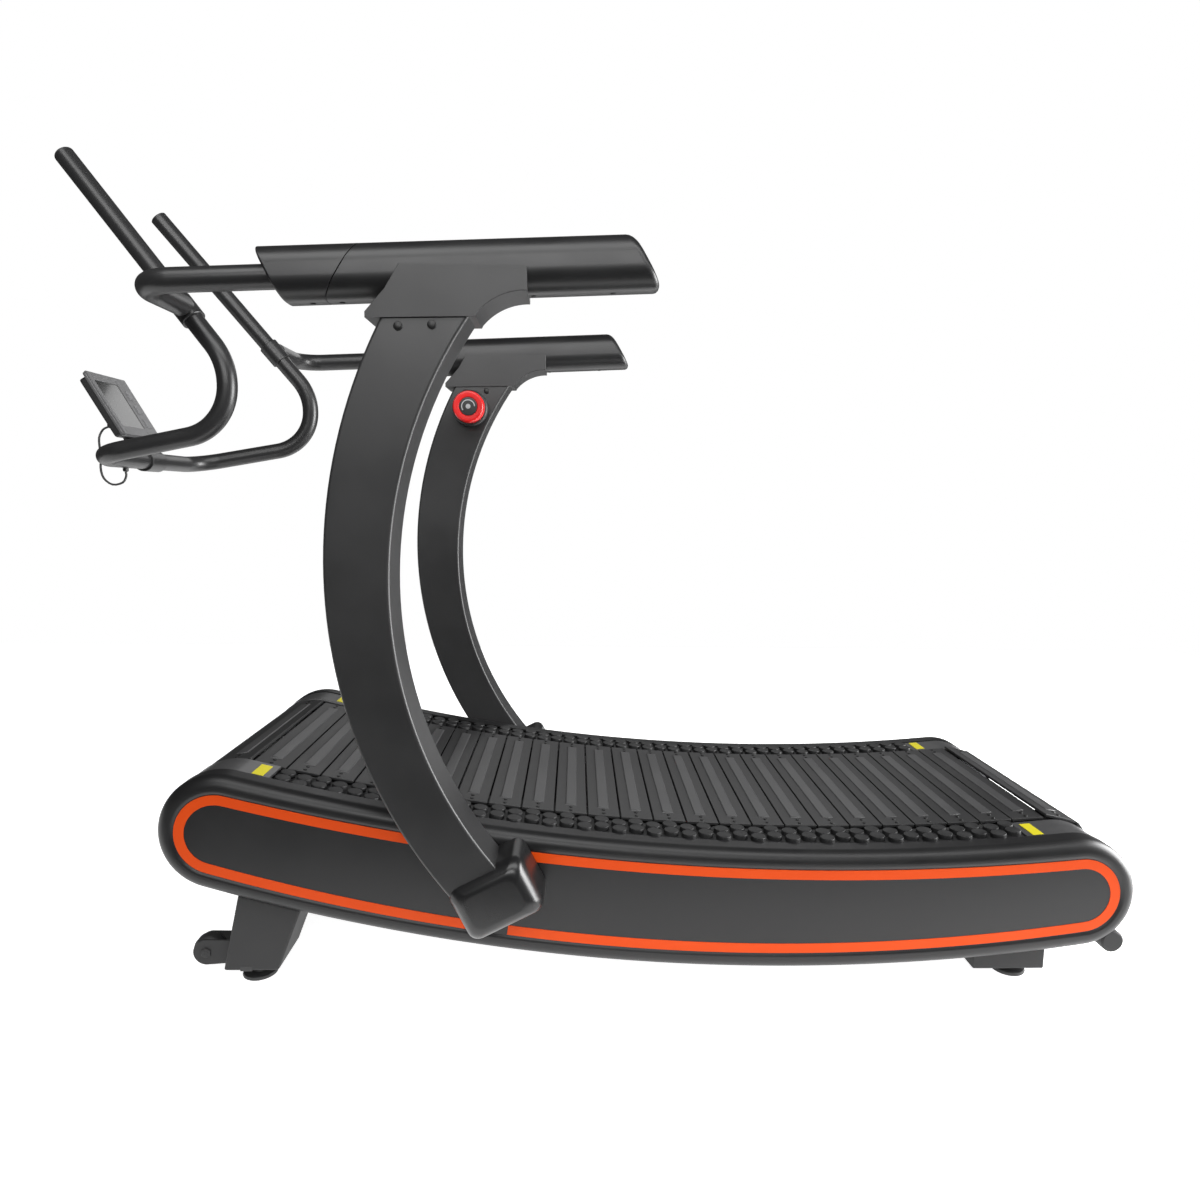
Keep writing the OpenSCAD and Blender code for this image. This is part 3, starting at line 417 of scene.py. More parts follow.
FOOT_RUBBER = Finish(
    "foot_rubber", (0.022, 0.022, 0.0225), (0.034, 0.034, 0.0345), 0.58,
    grain=Grain.RUBBER, grain_scale=1000, depth=0.0001,
)
THREAD_STEEL = Finish(
    "thread_steel", (0.42, 0.42, 0.43), (0.34, 0.34, 0.35), 0.32, metallic=1.0,
    grain=Grain.ALONG_Z, grain_scale=900, depth=0.00002,
)
BOOT_PLASTIC = Finish(
    "boot_plastic", (0.008, 0.008, 0.0085), (0.012, 0.012, 0.0125), 0.30, 0.06,
    grain=Grain.LEATHER, grain_scale=1300, depth=0.00002,
)
ARM_PLASTIC = Finish(
    "arm_plastic", (0.010, 0.010, 0.0105), (0.014, 0.014, 0.0145), 0.38, 0.06,
    grain=Grain.LEATHER, grain_scale=1500, depth=0.00003,
)
SOCKET_PLASTIC = Finish(
    "socket_plastic", (0.017, 0.017, 0.0175), (0.021, 0.021, 0.0215), 0.44, 0.06,
    grain=Grain.LEATHER, grain_scale=1500, depth=0.00003,
)
CAP_PLASTIC = Finish(
    "cap_plastic", (0.014, 0.014, 0.0145), (0.02, 0.02, 0.0205), 0.45,
    grain=Grain.LEATHER, grain_scale=1500, depth=0.00003,
)
CONSOLE_PLASTIC = Finish(
    "console_plastic", (0.012, 0.012, 0.0125), (0.016, 0.016, 0.0165), 0.45,
    grain=Grain.LEATHER, grain_scale=1600, depth=0.00003,
)
BEZEL_PLASTIC = Finish(
    "bezel_plastic", (0.085, 0.085, 0.087), (0.10, 0.10, 0.102), 0.42,
    grain=Grain.LEATHER, grain_scale=1600, depth=0.00003,
)
KEY_RUBBER = Finish(
    "key_rubber", (0.11, 0.11, 0.113), (0.14, 0.14, 0.143), 0.6,
    grain=Grain.RUBBER, grain_scale=1600, depth=0.00005,
)
SCREEN_GLASS = Finish(
    "screen_glass", (0.006, 0.0065, 0.0065), (0.010, 0.0105, 0.0105), 0.12, 0.04,
    coat=0.6, coat_roughness=0.05, grain=Grain.SMOOTH, grain_scale=20, depth=0.00001,
)
KNOB_RED = Finish(
    "knob_red", (0.72, 0.006, 0.006), (0.64, 0.004, 0.004), 0.30, 0.05,
    coat=0.3, grain=Grain.SMOOTH, grain_scale=60, depth=0.00002,
)
KNOB_MARK = Finish(
    "knob_mark", (0.45, 0.45, 0.46), (0.38, 0.38, 0.39), 0.35, metallic=0.6, grain_scale=1200,
    depth=0.00001,
)
SLAT_COAT = Finish(
    "slat_coat", (0.018, 0.018, 0.0185), (0.025, 0.025, 0.0255), 0.44, 0.08,
    patch=5, grain=Grain.ALONG_Y, grain_scale=500, depth=0.00002,
)
# The rib's lighter grey is a painted highlight: the light the raised rib catches, given as colour.
RIB_PAINTED_HIGHLIGHT = Finish(
    "rib_coat", (0.045, 0.045, 0.046), (0.060, 0.060, 0.061), 0.40, 0.08,
    patch=9, grain=Grain.ALONG_Y, grain_scale=500, depth=0.00002,
)
CORD_SHEATH = Finish(
    "cord_sheath", (0.016, 0.016, 0.016), (0.024, 0.024, 0.024), 0.45,
    grain=Grain.RUBBER, grain_scale=1500, depth=0.00002,
)


class Paintbox:
    """Builds each finish's material once."""

    def __init__(self) -> None:
        """Starts with no material made."""
        self.made: dict[str, bpy.types.Material] = {}

    def __getitem__(self, finish: Finish) -> bpy.types.Material:
        """The finish's material."""
        if finish.name not in self.made:
            self.made[finish.name] = finish.build()
        return self.made[finish.name]


# ---------------------------------------------------------------- mesh building


class Section:
    """Outlines of a piece's cross-section, each a ring of (u, v) points."""

    @staticmethod
    def _ring(bm: bmesh.types.BMesh) -> list[Point2]:
        """The only face's corners in order, and frees the mesh."""
        bm.faces.ensure_lookup_table()
        ring = [(loop.vert.co.x, loop.vert.co.y) for loop in bm.faces[0].loops]
        bm.free()
        return ring

    @classmethod
    def round(cls, radius: float, count: int = 24) -> list[Point2]:
        """A circle of count corners."""
        bm = bmesh.new()
        bmesh.ops.create_circle(bm, cap_ends=True, radius=radius, segments=count)
        return cls._ring(bm)

    @classmethod
    def box(cls, width: float, height: float, radius: float, steps: int = 4) -> list[Point2]:
        """A rectangle about the origin with rounded corners.

        Args:
            width: Its size along u.
            height: Its size along v.
            radius: The corners' radius.
            steps: How many edges each corner has.

        Returns:
            The outline's points.
        """
        bm = bmesh.new()
        w, h = width / 2, height / 2
        bm.faces.new([bm.verts.new((x, y, 0)) for x, y in ((-w, -h), (w, -h), (w, h), (-w, h))])
        soft = dict(offset_type="OFFSET", segments=steps, profile=0.5, material=-1)
        bmesh.ops.bevel(bm, geom=bm.verts[:], offset=radius, affect="VERTICES", **soft)
        return cls._ring(bm)


def arc(centre: Point2, radius: float, a0: float, a1: float, steps: int) -> list[Point2]:
    """Points on a circle from angle a0 to a1, in degrees."""
    return [
        (
            centre[0] + radius * math.cos(math.radians(a0 + (a1 - a0) * i / steps)),
            centre[1] + radius * math.sin(math.radians(a0 + (a1 - a0) * i / steps)),
        )
        for i in range(steps + 1)
    ]


def bearing(a: Point2, b: Point2) -> float:
    """The direction from a to b, in degrees."""
    return math.degrees(math.atan2(b[1] - a[1], b[0] - a[0]))


def basis(origin: Vector, u: Vector, v: Vector) -> Matrix:
    """A frame with the given origin and first two axes."""
    axes = Matrix((u, v, u.cross(v))).transposed()
    return Matrix.Translation(origin) @ axes.to_4x4()


class Route:
    """A line through space with rounded corners."""

    def __init__(self, points: Sequence[Point3], radii: Sequence[float], step: float = 5.0) -> None:
        """Rounds the inner corners.

        Args:
            points: The corners, first to last.
            radii: The bend radius at each inner corner.
            step: The turn between two points of a bend, in degrees.
        """
        corners = [Vector(p) for p in points]
        self.line = [corners[0]]
        for before, corner, after, radius in zip(corners, corners[1:], corners[2:], radii):
            d0, d1 = (corner - before).normalized(), (after - corner).normalized()
            turn = d0.angle(d1)
            start = corner - radius * math.tan(turn / 2) * d0
            axis = d0.cross(d1).normalized()
            centre = start + radius * axis.cross(d0)
            count = max(2, math.ceil(math.degrees(turn) / step))
            for i in range(count + 1):
                spun = Matrix.Rotation(turn * i / count, 3, axis) @ (start - centre)
                self.line.append(centre + spun)
        self.line.append(corners[-1])

    def frames(self) -> list[Matrix]:
        """A frame at each point of the line, with no twist between them."""
        line = self.line
        ways = [(b - a).normalized() for a, b in zip(line, line[1:])]
        tangents = [ways[0]]
        tangents += [(a + b).normalized() for a, b in zip(ways, ways[1:])]
        tangents.append(ways[-1])
        turned = tangents[0].to_track_quat("Z", "Y")
        made = [Matrix.Translation(line[0]) @ turned.to_matrix().to_4x4()]
        for place, old, new in zip(line[1:], tangents, tangents[1:]):
            turned = old.rotation_difference(new) @ turned
            made.append(Matrix.Translation(place) @ turned.to_matrix().to_4x4())
        return made


class Mould:
    """A mesh under construction, measured from the maker's zero line."""

    mid_x = 0.0
    paints = Paintbox()

    def __init__(self) -> None:
        """Starts empty."""
        self.bm = bmesh.new()

    def chain(self, points: Iterable[Sequence[float]], closed: bool = True) -> list[bmesh.types.BMEdge]:
        """Joins new vertices in a row."""
        verts = [self.bm.verts.new(p) for p in points]
        pairs = list(zip(verts, verts[1:])) + ([(verts[-1], verts[0])] if closed else [])
        return [self.bm.edges.new(pair) for pair in pairs]

    def loft(
        self,
        section: Sequence[Point2],
        frames: Sequence[Matrix],
        ring: bool = False,
    ) -> "Mould":
        """Draws a closed section through a row of frames.

        Args:
            section: The outline, in each frame's first two axes.
            frames: Where the section goes.
            ring: Whether the last frame leads back to the first.

        Returns:
            This mould.
        """
        return self.skin([[f @ Vector((u, v, 0)) for u, v in section] for f in frames], ring)

    def skin(self, outlines: Sequence[Sequence[Vector]], ring: bool = False) -> "Mould":
        """Bridges a row of closed outlines, and caps the two ends of an open row."""
        loops = [self.chain(outline) for outline in outlines]
        for a, b in zip(loops, loops[1:] + loops[:1] if ring else loops[1:]):
            bmesh.ops.bridge_loops(self.bm, edges=a + b)
        for loop in () if ring else (loops[0], loops[-1]):
            bmesh.ops.edgeloop_fill(self.bm, edges=loop)
        return self

    def tube(self, route: Route, radius: float, count: int = 24) -> "Mould":
        """A round bar along a route."""
        return self.loft(Section.round(radius, count), route.frames())

    def prism(self, outline: Sequence[Point2], y0: float, y1: float) -> "Mould":
        """An (x, z) outline given a depth along Y."""
        edges = self.chain([(x, y0, z) for x, z in outline])
        face = bmesh.ops.edgeloop_fill(self.bm, edges=edges)["faces"]
        made = bmesh.ops.extrude_face_region(self.bm, geom=face)["geom"]
        verts = [g for g in made if isinstance(g, bmesh.types.BMVert)]
        bmesh.ops.translate(self.bm, vec=(0, y1 - y0, 0), verts=verts)
        return self

    def block(self, low: Point3, high: Point3) -> "Mould":
        """A box between two corners."""
        size = [b - a for a, b in zip(low, high)]
        middle = [(a + b) / 2 for a, b in zip(low, high)]
        matrix = Matrix.Translation(middle) @ Matrix.Diagonal((*size, 1))
        bmesh.ops.create_cube(self.bm, size=1.0, matrix=matrix)
        return self

    def turned(
        self, profile: Sequence[Point2], centre: Point3, axis: Point3 = (0, 1, 0), steps: int = 48
    ) -> "Mould":
        """A shape turned on a lathe.

        Args:
            profile: Pairs of radius and distance along the axis.
            centre: A point on the axis, where the distance is 0.
            axis: The axis' direction.
            steps: How many facets go round.

        Returns:
            This mould.
        """
        way = Vector(axis).normalized()
        out = Vector((0, 0, 1)) if abs(way.z) < 0.9 else Vector((1, 0, 0))
        out = (out - way * out.dot(way)).normalized()
        start = Vector(centre)
        edges = self.chain([start + out * r + way * h for r, h in profile], closed=False)
        verts = list({v for e in edges for v in e.verts})
        spin = dict(cent=start, axis=way, dvec=(0, 0, 0), angle=math.tau, steps=steps)
        bmesh.ops.spin(self.bm, geom=edges + verts, use_merge=True, **spin)
        return self

    def soften(
        self,
        offset: float,
        segments: int = 3,
        angle: float = 30.0,
        where: Callable[[Vector], bool] | None = None,
    ) -> "Mould":
        """Rounds the edges that turn by more than an angle.

        Args:
            offset: The rounding's width.
            segments: How many facets it has.
            angle: The least turn between two faces, in degrees.
            where: Picks edges by their middle, or all.

        Returns:
            This mould.
        """
        self.tidy()
        edges = [
            e
            for e in self.bm.edges
            if len(e.link_faces) == 2
            and e.calc_face_angle(0.0) > math.radians(angle)
            and (where is None or where((e.verts[0].co + e.verts[1].co) / 2))
        ]
        soft = dict(offset_type="OFFSET", segments=segments, profile=0.5, material=-1)
        bmesh.ops.bevel(
            self.bm, geom=edges, offset=offset, affect="EDGES", clamp_overlap=True, **soft
        )
        return self

    def cut(
        self, point: Point3, normal: Point3, where: Callable[[Vector], bool] = lambda p: True
    ) -> "Mould":
        """Takes off what lies beyond a plane, and closes the cut.

        Args:
            point: A point on the plane.
            normal: Points to the side that goes.
            where: Picks the corners that the cut may touch.

        Returns:
            This mould.
        """
        geom = [v for v in self.bm.verts if where(v.co)]
        near = set(geom)
        geom += [e for e in self.bm.edges if near.issuperset(e.verts)]
        geom += [f for f in self.bm.faces if near.issuperset(f.verts)]
        plane = dict(plane_co=point, plane_no=normal, clear_outer=True)
        made = bmesh.ops.bisect_plane(self.bm, geom=geom, **plane)["geom_cut"]
        rim = [g for g in made if isinstance(g, bmesh.types.BMEdge)]
        bmesh.ops.edgeloop_fill(self.bm, edges=rim)
        return self

    def join(self, other: "Mould") -> "Mould":
        """Takes in another mould's mesh as it stands, and frees the other."""
        self.stamp(other, Matrix.Identity(4))
        other.bm.free()
        return self

    def stamp(self, other: "Mould", matrix: Matrix) -> "Mould":
        """Adds a copy of another mould's mesh, put in place by a matrix."""
        mesh = bpy.data.meshes.new("stamp")
        other.bm.to_mesh(mesh)
        mesh.transform(matrix)
        if matrix.determinant() < 0:
            mesh.flip_normals()
        self.bm.from_mesh(mesh)
        bpy.data.meshes.remove(mesh)
        return self

    def mirrored(self) -> "Mould":
        """Adds the same shape on the other side of the machine."""
        other = Mould()
        other.stamp(self, Matrix.Diagonal((1, -1, 1, 1)))
        return self.join(other)

    def tidy(self) -> None:
        """Merges doubled vertices and points the faces outward."""
        bmesh.ops.remove_doubles(self.bm, verts=self.bm.verts[:], dist=1e-6)
        bmesh.ops.recalc_face_normals(self.bm, faces=self.bm.faces[:])

    def publish(
        self,
        name: str,
        finish: Finish,
        slot: str,
        body: str = "frame",
        nodes: Sequence[str] = (),
        sharp: float = 38.0,
    ) -> bpy.types.Object:
        """Makes the finished piece.

        Args:
            name: The piece's name.
            finish: Its surface.
            slot: The record's material slot; not used.
            body: The body it moves with.
            nodes: The CAD nodes it stands for.
            sharp: Edges that turn by more than this stay sharp, in degrees.

        Returns:
            The new object.
        """
        self.tidy()
        bmesh.ops.translate(self.bm, vec=(-self.mid_x, 0, 0), verts=self.bm.verts[:])
        mesh = bpy.data.meshes.new(name)
        self.bm.to_mesh(mesh)
        self.bm.free()
        mesh.shade_smooth()
        mesh.set_sharp_from_angle(angle=math.radians(sharp))
        piece = bpy.data.objects.new(name, mesh)
        bpy.context.scene.collection.objects.link(piece)
        mesh.materials.append(self.paints[finish])
        weigh = piece.modifiers.new("normals", "WEIGHTED_NORMAL")
        weigh.keep_sharp = True
        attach(piece, body)
        if nodes:
            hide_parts(*nodes)
        log.info("%s: %d faces", name, len(mesh.polygons))
        return piece


def dress(nodes: dict[str, bpy.types.Object], finish: Finish, *names: str) -> None:
    """Gives CAD nodes a finish in place of their plain one."""
    for name in names:
        mesh = nodes[name].data
        mesh.materials.clear()
        mesh.materials.append(Mould.paints[finish])
        log.info("%s keeps its own shape", name)


# ---------------------------------------------------------------- the machine's main lines


@dataclass(frozen=True)
class Arc:
    """A circle in the side view, whose lower half is a long curve of the machine."""

    x: float
    z: float
    radius: float

    @property
    def centre(self) -> Point2:
        """The circle's middle."""
        return (self.x, self.z)

    def low(self, x: float, drop: float = 0.0) -> float:
        """The height of the lower half at x, let down by drop."""
        return self.z - math.sqrt((self.radius + drop) ** 2 - (x - self.x) ** 2)

    def sweep(self, a0: float, a1: float, steps: int, grow: float = 0.0) -> list[Point2]:
        """Points from angle a0 to a1, on the circle grown by grow."""
        return arc(self.centre, self.radius + grow, a0, a1, steps)

    def between(self, x0: float, x1: float, drop: float = 0.0, steps: int = 48) -> list[Point2]:
        """Points of the lower half from x0 to x1."""
        xs = [x0 + (x1 - x0) * i / steps for i in range(steps + 1)]
        return [(x, self.low(x, drop)) for x in xs]


DECK = Arc(0.485, 5.111, 4.850)
TOP = Arc(0.479, 4.706, 4.451)
BOTTOM = Arc(0.388, 3.687, 3.655)
FRONT_END = Arc(-0.64005, 0.28935, 0.1052)
REAR_END = Arc(0.90976, 0.17297, 0.1024)
DRUM_R = 0.097
FRONT_DRUM = Arc(-0.640, DECK.low(-0.640, DRUM_R), DRUM_R)
REAR_DRUM = Arc(0.910, DECK.low(0.910, DRUM_R), DRUM_R)
RAIL_Y = (0.221, 0.288)
COVER_Y = 0.333
POST_Y = (0.335, 0.418)
ARM_Y = 0.3765
RAIL_X = (-0.562, 0.826)


@dataclass(frozen=True)
class Station:
    """A point on a piece's edge in the side view, and the way out of the piece there."""

    x: float
    z: float
    out: float

    def frame(self) -> Matrix:
        """A frame whose u leads into the piece and whose v is +Y."""
        turn = math.radians(self.out)
        into = Vector((-math.cos(turn), 0, -math.sin(turn)))
        return basis(Vector((self.x, 0, self.z)), into, Vector((0, 1, 0)))


def stations(circle: Arc, a0: float, a1: float, steps: int, grow: float = 0.0) -> list[Station]:
    """Stations along a circle, whose piece lies inside it, or outside where grow is a hole's."""
    turns = [a0 + (a1 - a0) * i / steps for i in range(steps + 1)]
    places = circle.sweep(a0, a1, steps, grow)
    flip = 180 if circle is TOP else 0
    return [Station(x, z, a + flip) for (x, z), a in zip(places, turns)]


@dataclass(frozen=True)
class Outline:
    """The side covers' closed edge."""

    long_steps: int = 72
    end_steps: int = 40
    breaks: tuple[Point2, Point2] = ((-0.215, -0.188), (-0.139, -0.130))

    @staticmethod
    def meets() -> tuple[float, float, float, float]:
        """Where the bottom and then the top curve meet the ends, as angles in the edge's order."""
        low = [bearing(BOTTOM.centre, end.centre) for end in (FRONT_END, REAR_END)]
        high = [bearing(TOP.centre, end.centre) for end in (REAR_END, FRONT_END)]
        return (*low, *high)

    def stations(self) -> list[Station]:
        """Stations all round, from the front end's top, down and back along the top."""
        low0, low1, high0, high1 = self.meets()
        front = stations(FRONT_END, high1 + 180, low0 + 360, self.end_steps)
        low = stations(BOTTOM, low0, low1, self.long_steps)
        rear = stations(REAR_END, low1, high0 + 180, self.end_steps)
        high = stations(TOP, high0, high1, self.long_steps)
        return front[:-1] + low[:-1] + rear[:-1] + high[:-1]

    def halves(self) -> tuple[list[Station], list[Station]]:
        """Stations along the parts of the edge in front of and behind the boot."""
        low0, low1, high0, high1 = self.meets()
        (front_high, front_low), (rear_low, rear_high) = self.breaks

        def spot(circle: Arc, x: float) -> float:
            """The angle at which a circle's lower half reaches x."""
            return bearing(circle.centre, (x, circle.low(x)))

        front = stations(TOP, spot(TOP, front_high), high1, 24)[:-1]
        front += stations(FRONT_END, high1 + 180, low0 + 360, self.end_steps)[:-1]
        front += stations(BOTTOM, low0, spot(BOTTOM, front_low), 24)
        rear = stations(BOTTOM, spot(BOTTOM, rear_low), low1, 48)[:-1]
        rear += stations(REAR_END, low1, high0 + 180, self.end_steps)[:-1]
        rear += stations(TOP, high0, spot(TOP, rear_high), 48)
        return front, rear

    def inset(self, depth: float) -> list[Point2]:
        """The edge drawn in by a depth."""
        edge = []
        for place in self.stations():
            turn = math.radians(place.out)
            edge.append((place.x - depth * math.cos(turn), place.z - depth * math.sin(turn)))
        return edge


# ---------------------------------------------------------------- sub-assemblies


@dataclass
class Belt:
    """The endless belt: cross slats with a raised rib, screwed to two rubber straps."""

    count: int = 58
    gap: float = 0.003
    half: float = 0.216
    plate: float = 0.006
    rib: float = 0.002
    rib_w: float = 0.022
    rib_end: float = 0.034
    screws: tuple[float, ...] = (0.009, 0.025)
    back_r: float = 3.640

    def __post_init__(self) -> None:
        """Works out the belt's four runs."""
        thick = self.plate + self.rib
        span = Vector((REAR_DRUM.x - FRONT_DRUM.x, REAR_DRUM.z - FRONT_DRUM.z))
        drum = FRONT_DRUM.radius
        rise = math.sqrt((self.back_r - drum) ** 2 - (span.length / 2) ** 2)
        up = Vector((-span.y, span.x)).normalized() * rise
        middle = ((FRONT_DRUM.x + REAR_DRUM.x) / 2, (FRONT_DRUM.z + REAR_DRUM.z) / 2)
        back = Arc(middle[0] + up.x, middle[1] + up.y, self.back_r)
        deck0, deck1 = bearing(DECK.centre, FRONT_DRUM.centre), bearing(DECK.centre, REAR_DRUM.centre)
        low0, low1 = bearing(back.centre, REAR_DRUM.centre), bearing(back.centre, FRONT_DRUM.centre)
        self.runs = (
            (DECK.centre, DECK.radius + thick, deck0, deck1),
            (REAR_DRUM.centre, drum - thick, deck1 + 180, low0),
            (back.centre, self.back_r - thick, low0, low1),
            (FRONT_DRUM.centre, drum - thick, low1 + 360, deck0 + 180),
        )
        self.lengths = [r * math.radians(abs(a1 - a0)) for _, r, a0, a1 in self.runs]
        self.pitch = sum(self.lengths) / self.count
        lead = self.runs[0][1] * math.radians(-90 - deck0)
        self.phase = lead - self.pitch * math.floor(self.lengths[0] / self.pitch / 2)

    def seat(self, index: int) -> Matrix:
        """The frame of one slat: x along the belt, z out of it."""
        along = (self.phase + index * self.pitch) % sum(self.lengths)
        for (centre, radius, a0, a1), length in zip(self.runs, self.lengths):
            if along < length:
                break
            along -= length
        turn = a0 + math.copysign(math.degrees(along / radius), a1 - a0)
        tangent = turn + math.copysign(90, a1 - a0)
        x, z = arc(centre, radius, turn, turn, 1)[0]
        return Matrix.Translation((x, 0, z)) @ Matrix.Rotation(-math.radians(tangent), 4, "Y")

    def slat(self) -> Mould:
        """One slat's plate."""
        half = (self.pitch - self.gap) / 2
        mould = Mould().block((-half, -self.half, 0.0002), (half, self.half, self.plate))
        return mould.soften(0.0012, 2)

    def ridge(self) -> Mould:
        """One slat's rib, its lighter colour a painted highlight where the raised rib catches the light."""
        wide, edge = self.rib_w / 2, self.half - self.rib_end
        top = self.plate + self.rib
        rib = Mould().block((-wide, -edge, self.plate - 0.001), (wide, edge, top))
        return rib.soften(0.0028, 3, where=lambda p: p.z > top - 0.0001)

    def screw(self) -> Mould:
        """One pan head."""
        high = 0.0015
        profile = [(0.0035, 0), (0.0035, high * 0.5), (0.0026, high), (0, high)]
        return Mould().turned(profile, (0, 0, 0), (0, 0, 1), 12)

    def build(self) -> None:
        """Makes the slats and their screws."""
        slat, ridge, screw = self.slat(), self.ridge(), self.screw()
        slats, ridges, screws = Mould(), Mould(), Mould()
        for i in range(self.count):
            seat = self.seat(i)
            slats.stamp(slat, seat)
            ridges.stamp(ridge, seat)
            for side in SIDES:
                for inset in self.screws:
                    place = Matrix.Translation((0, side * (self.half - inset), self.plate))
                    screws.stamp(screw, seat @ place)
        slats.publish("slats", SLAT_COAT, "slat_coated", nodes=["belt_slats"], sharp=50)
        # The ribs carry the lighter painted-highlight colour.
        ridges.publish("slat_ribs", RIB_PAINTED_HIGHLIGHT, "slat_coated", sharp=50)
        screws.publish("screws", SCREW_BLACK, "screw_black", nodes=["slat_screws"])


@dataclass
class Rails:
    """The foot rails on both sides of the belt, their grip studs and smooth end covers."""

    drop: float = 0.009
    columns: int = 43
    rows: tuple[float, ...] = (0.015, 0.0435)
    shift: float = 0.009
    stud_r: float = 0.0140
    stud_h: float = 0.009

    def stud(self) -> Mould:
        """One rubber button, its top edge rounded."""
        r, h = self.stud_r, self.stud_h
        profile = [(r, 0), (r - 0.0002, h - 0.0022), (r - 0.0008, h - 0.0006), (r - 0.0026, h), (0, h)]
        return Mould().turned(profile, (0, 0, 0), (0, 0, 1), 20)

    def bed(self) -> Mould:
        """The right-hand rail under the studs."""
        x0, x1 = RAIL_X
        top = DECK.between(x0, x1, self.drop, 60)
        low = TOP.between(x1, x0, 0.014, 60)
        mould = Mould().prism(top + low, *RAIL_Y)
        return mould.soften(0.0012, 2, 60)

    def build(self) -> None:
        """Makes the rails, studs and end covers."""
        self.bed().mirrored().publish("rails", RAIL_PLASTIC, "rail_black", nodes=["foot_rails"])
        stud, studs = self.stud(), Mould()
        pitch = (RAIL_X[1] - RAIL_X[0]) / self.columns
        for i in range(self.columns):
            x = RAIL_X[0] + (i + 0.5) * pitch
            lean = math.asin((x - DECK.x) / DECK.radius)
            for row, side in ((r, s) for r in self.rows for s in SIDES):
                y = side * (RAIL_Y[0] + row + (i % 2) * self.shift)
                seat = Matrix.Translation((x, y, DECK.low(x, self.drop)))
                studs.stamp(stud, seat @ Matrix.Rotation(-lean, 4, "Y"))
        studs.publish("studs", STUD_RUBBER, "grip_rubber", nodes=["grip_studs"])
        self.ends()
        self.plates()

    def ends(self) -> None:
        """Makes the smooth shells that wrap over the drum ends."""
        shell = [(u + 0.005, v + sum(RAIL_Y) / 2) for u, v in Section.box(0.006, 0.067, 0.0022, 3)]
        mould = Mould()
        rail0 = bearing(TOP.centre, (RAIL_X[0], DECK.low(RAIL_X[0])))
        rail1 = bearing(TOP.centre, (RAIL_X[1], DECK.low(RAIL_X[1])))
        end0, end1 = bearing(TOP.centre, FRONT_END.centre), bearing(TOP.centre, REAR_END.centre)
        front = stations(TOP, rail0, end0, 8)[:-1]
        front += stations(FRONT_END, end0 + 180, end0 + 285, 36)
        rear = stations(REAR_END, end1 + 75, end1 + 180, 36)[:-1]
        rear += stations(TOP, end1, rail1, 8)
        for run in (front, rear):
            mould.loft(shell, [place.frame() for place in run])
        mould.mirrored().publish("end_covers", END_PLASTIC, "end_cover_grey", nodes=["rail_end_covers"])

    def plates(self) -> None:
        """Makes the plain plates beside the first and last studs."""
        wide = RAIL_Y[1] - RAIL_Y[0] - 0.018
        middle = RAIL_Y[0] + 0.012 + wide / 2
        sheet = [(u + 0.0016, v + middle) for u, v in Section.box(0.0009, wide, 0.0004, 2)]
        step = math.degrees(0.020 / TOP.radius)
        mould = Mould()
        for x, share in ((RAIL_X[0], -1.6), (RAIL_X[1], 0.6)):
            start = bearing(TOP.centre, (x, DECK.low(x))) + share * step
            mould.loft(sheet, [p.frame() for p in stations(TOP, start, start + step, 4)])
        mould.mirrored().publish(
            "plates", CAUTION_PAINT, "caution_yellow", nodes=["caution_plates"]
        )


@dataclass
class SideCovers:
    """The gloss covers: a fat rounded bead all round and a recessed face with a stripe."""

    rounding: float = 0.022
    bead: float = 0.032
    recess: float = 0.003
    wall: float = 0.003
    stripe: tuple[float, float] = (0.033, 0.051)
    slant: float = 27.0
    slant_at: Point3 = (-0.0963, COVER_Y, 0.2486)

    def section(self) -> list[Point2]:
        """The bead's section, as depth in from the edge and Y."""
        r, w = self.rounding, self.wall
        y = COVER_Y - r
        outer = [(0.0, RAIL_Y[1])] + [(r + a, y + b) for a, b in arc((0, 0), r, 180, 84, 14)]
        fall = self.bead - outer[-1][0]
        shares = [i / 5 for i in range(1, 6)]
        slope = [(self.bead - fall * (1 - t), COVER_Y - self.recess * t * t) for t in shares]
        lip = [(self.bead, COVER_Y - self.recess - w)]
        inner = [(r + a, y + b) for a, b in arc((0, 0), r - w, 90, 180, 8)]
        return outer + slope + lip + inner[1:] + [(w, RAIL_Y[1])]

    def build(self) -> None:
        """Makes the covers and their stripes."""
        outline = Outline()
        frames = [place.frame() for place in outline.stations()]
        mould = Mould().loft(self.section(), frames, ring=True)
        face = COVER_Y - self.recess
        mould.prism(outline.inset(self.bead - 0.002), face - self.wall, face)
        nodes = ["side_cover_left", "side_cover_right"]
        mould.mirrored().publish("covers", COVER_GLOSS, "cover_black", nodes=nodes)
        d0, d1 = self.stripe
        flat = Section.box(d1 - d0, 0.0016, 0.0005, 2)
        band = [((d0 + d1) / 2 + u, face + v) for u, v in flat]
        front, rear = outline.halves()
        stripe = Mould().loft(band, [place.frame() for place in rear])
        slant = math.radians(self.slant)
        away = (-math.cos(slant), 0, -math.sin(slant))
        stripe.cut(self.slant_at, away, lambda p: p.z > 0.21 and p.x < 0)
        stripe.loft(band, [place.frame() for place in front])
        stripe.mirrored().publish("stripes", STRIPE_PAINT, "stripe_orange", nodes=["trim_stripes"])


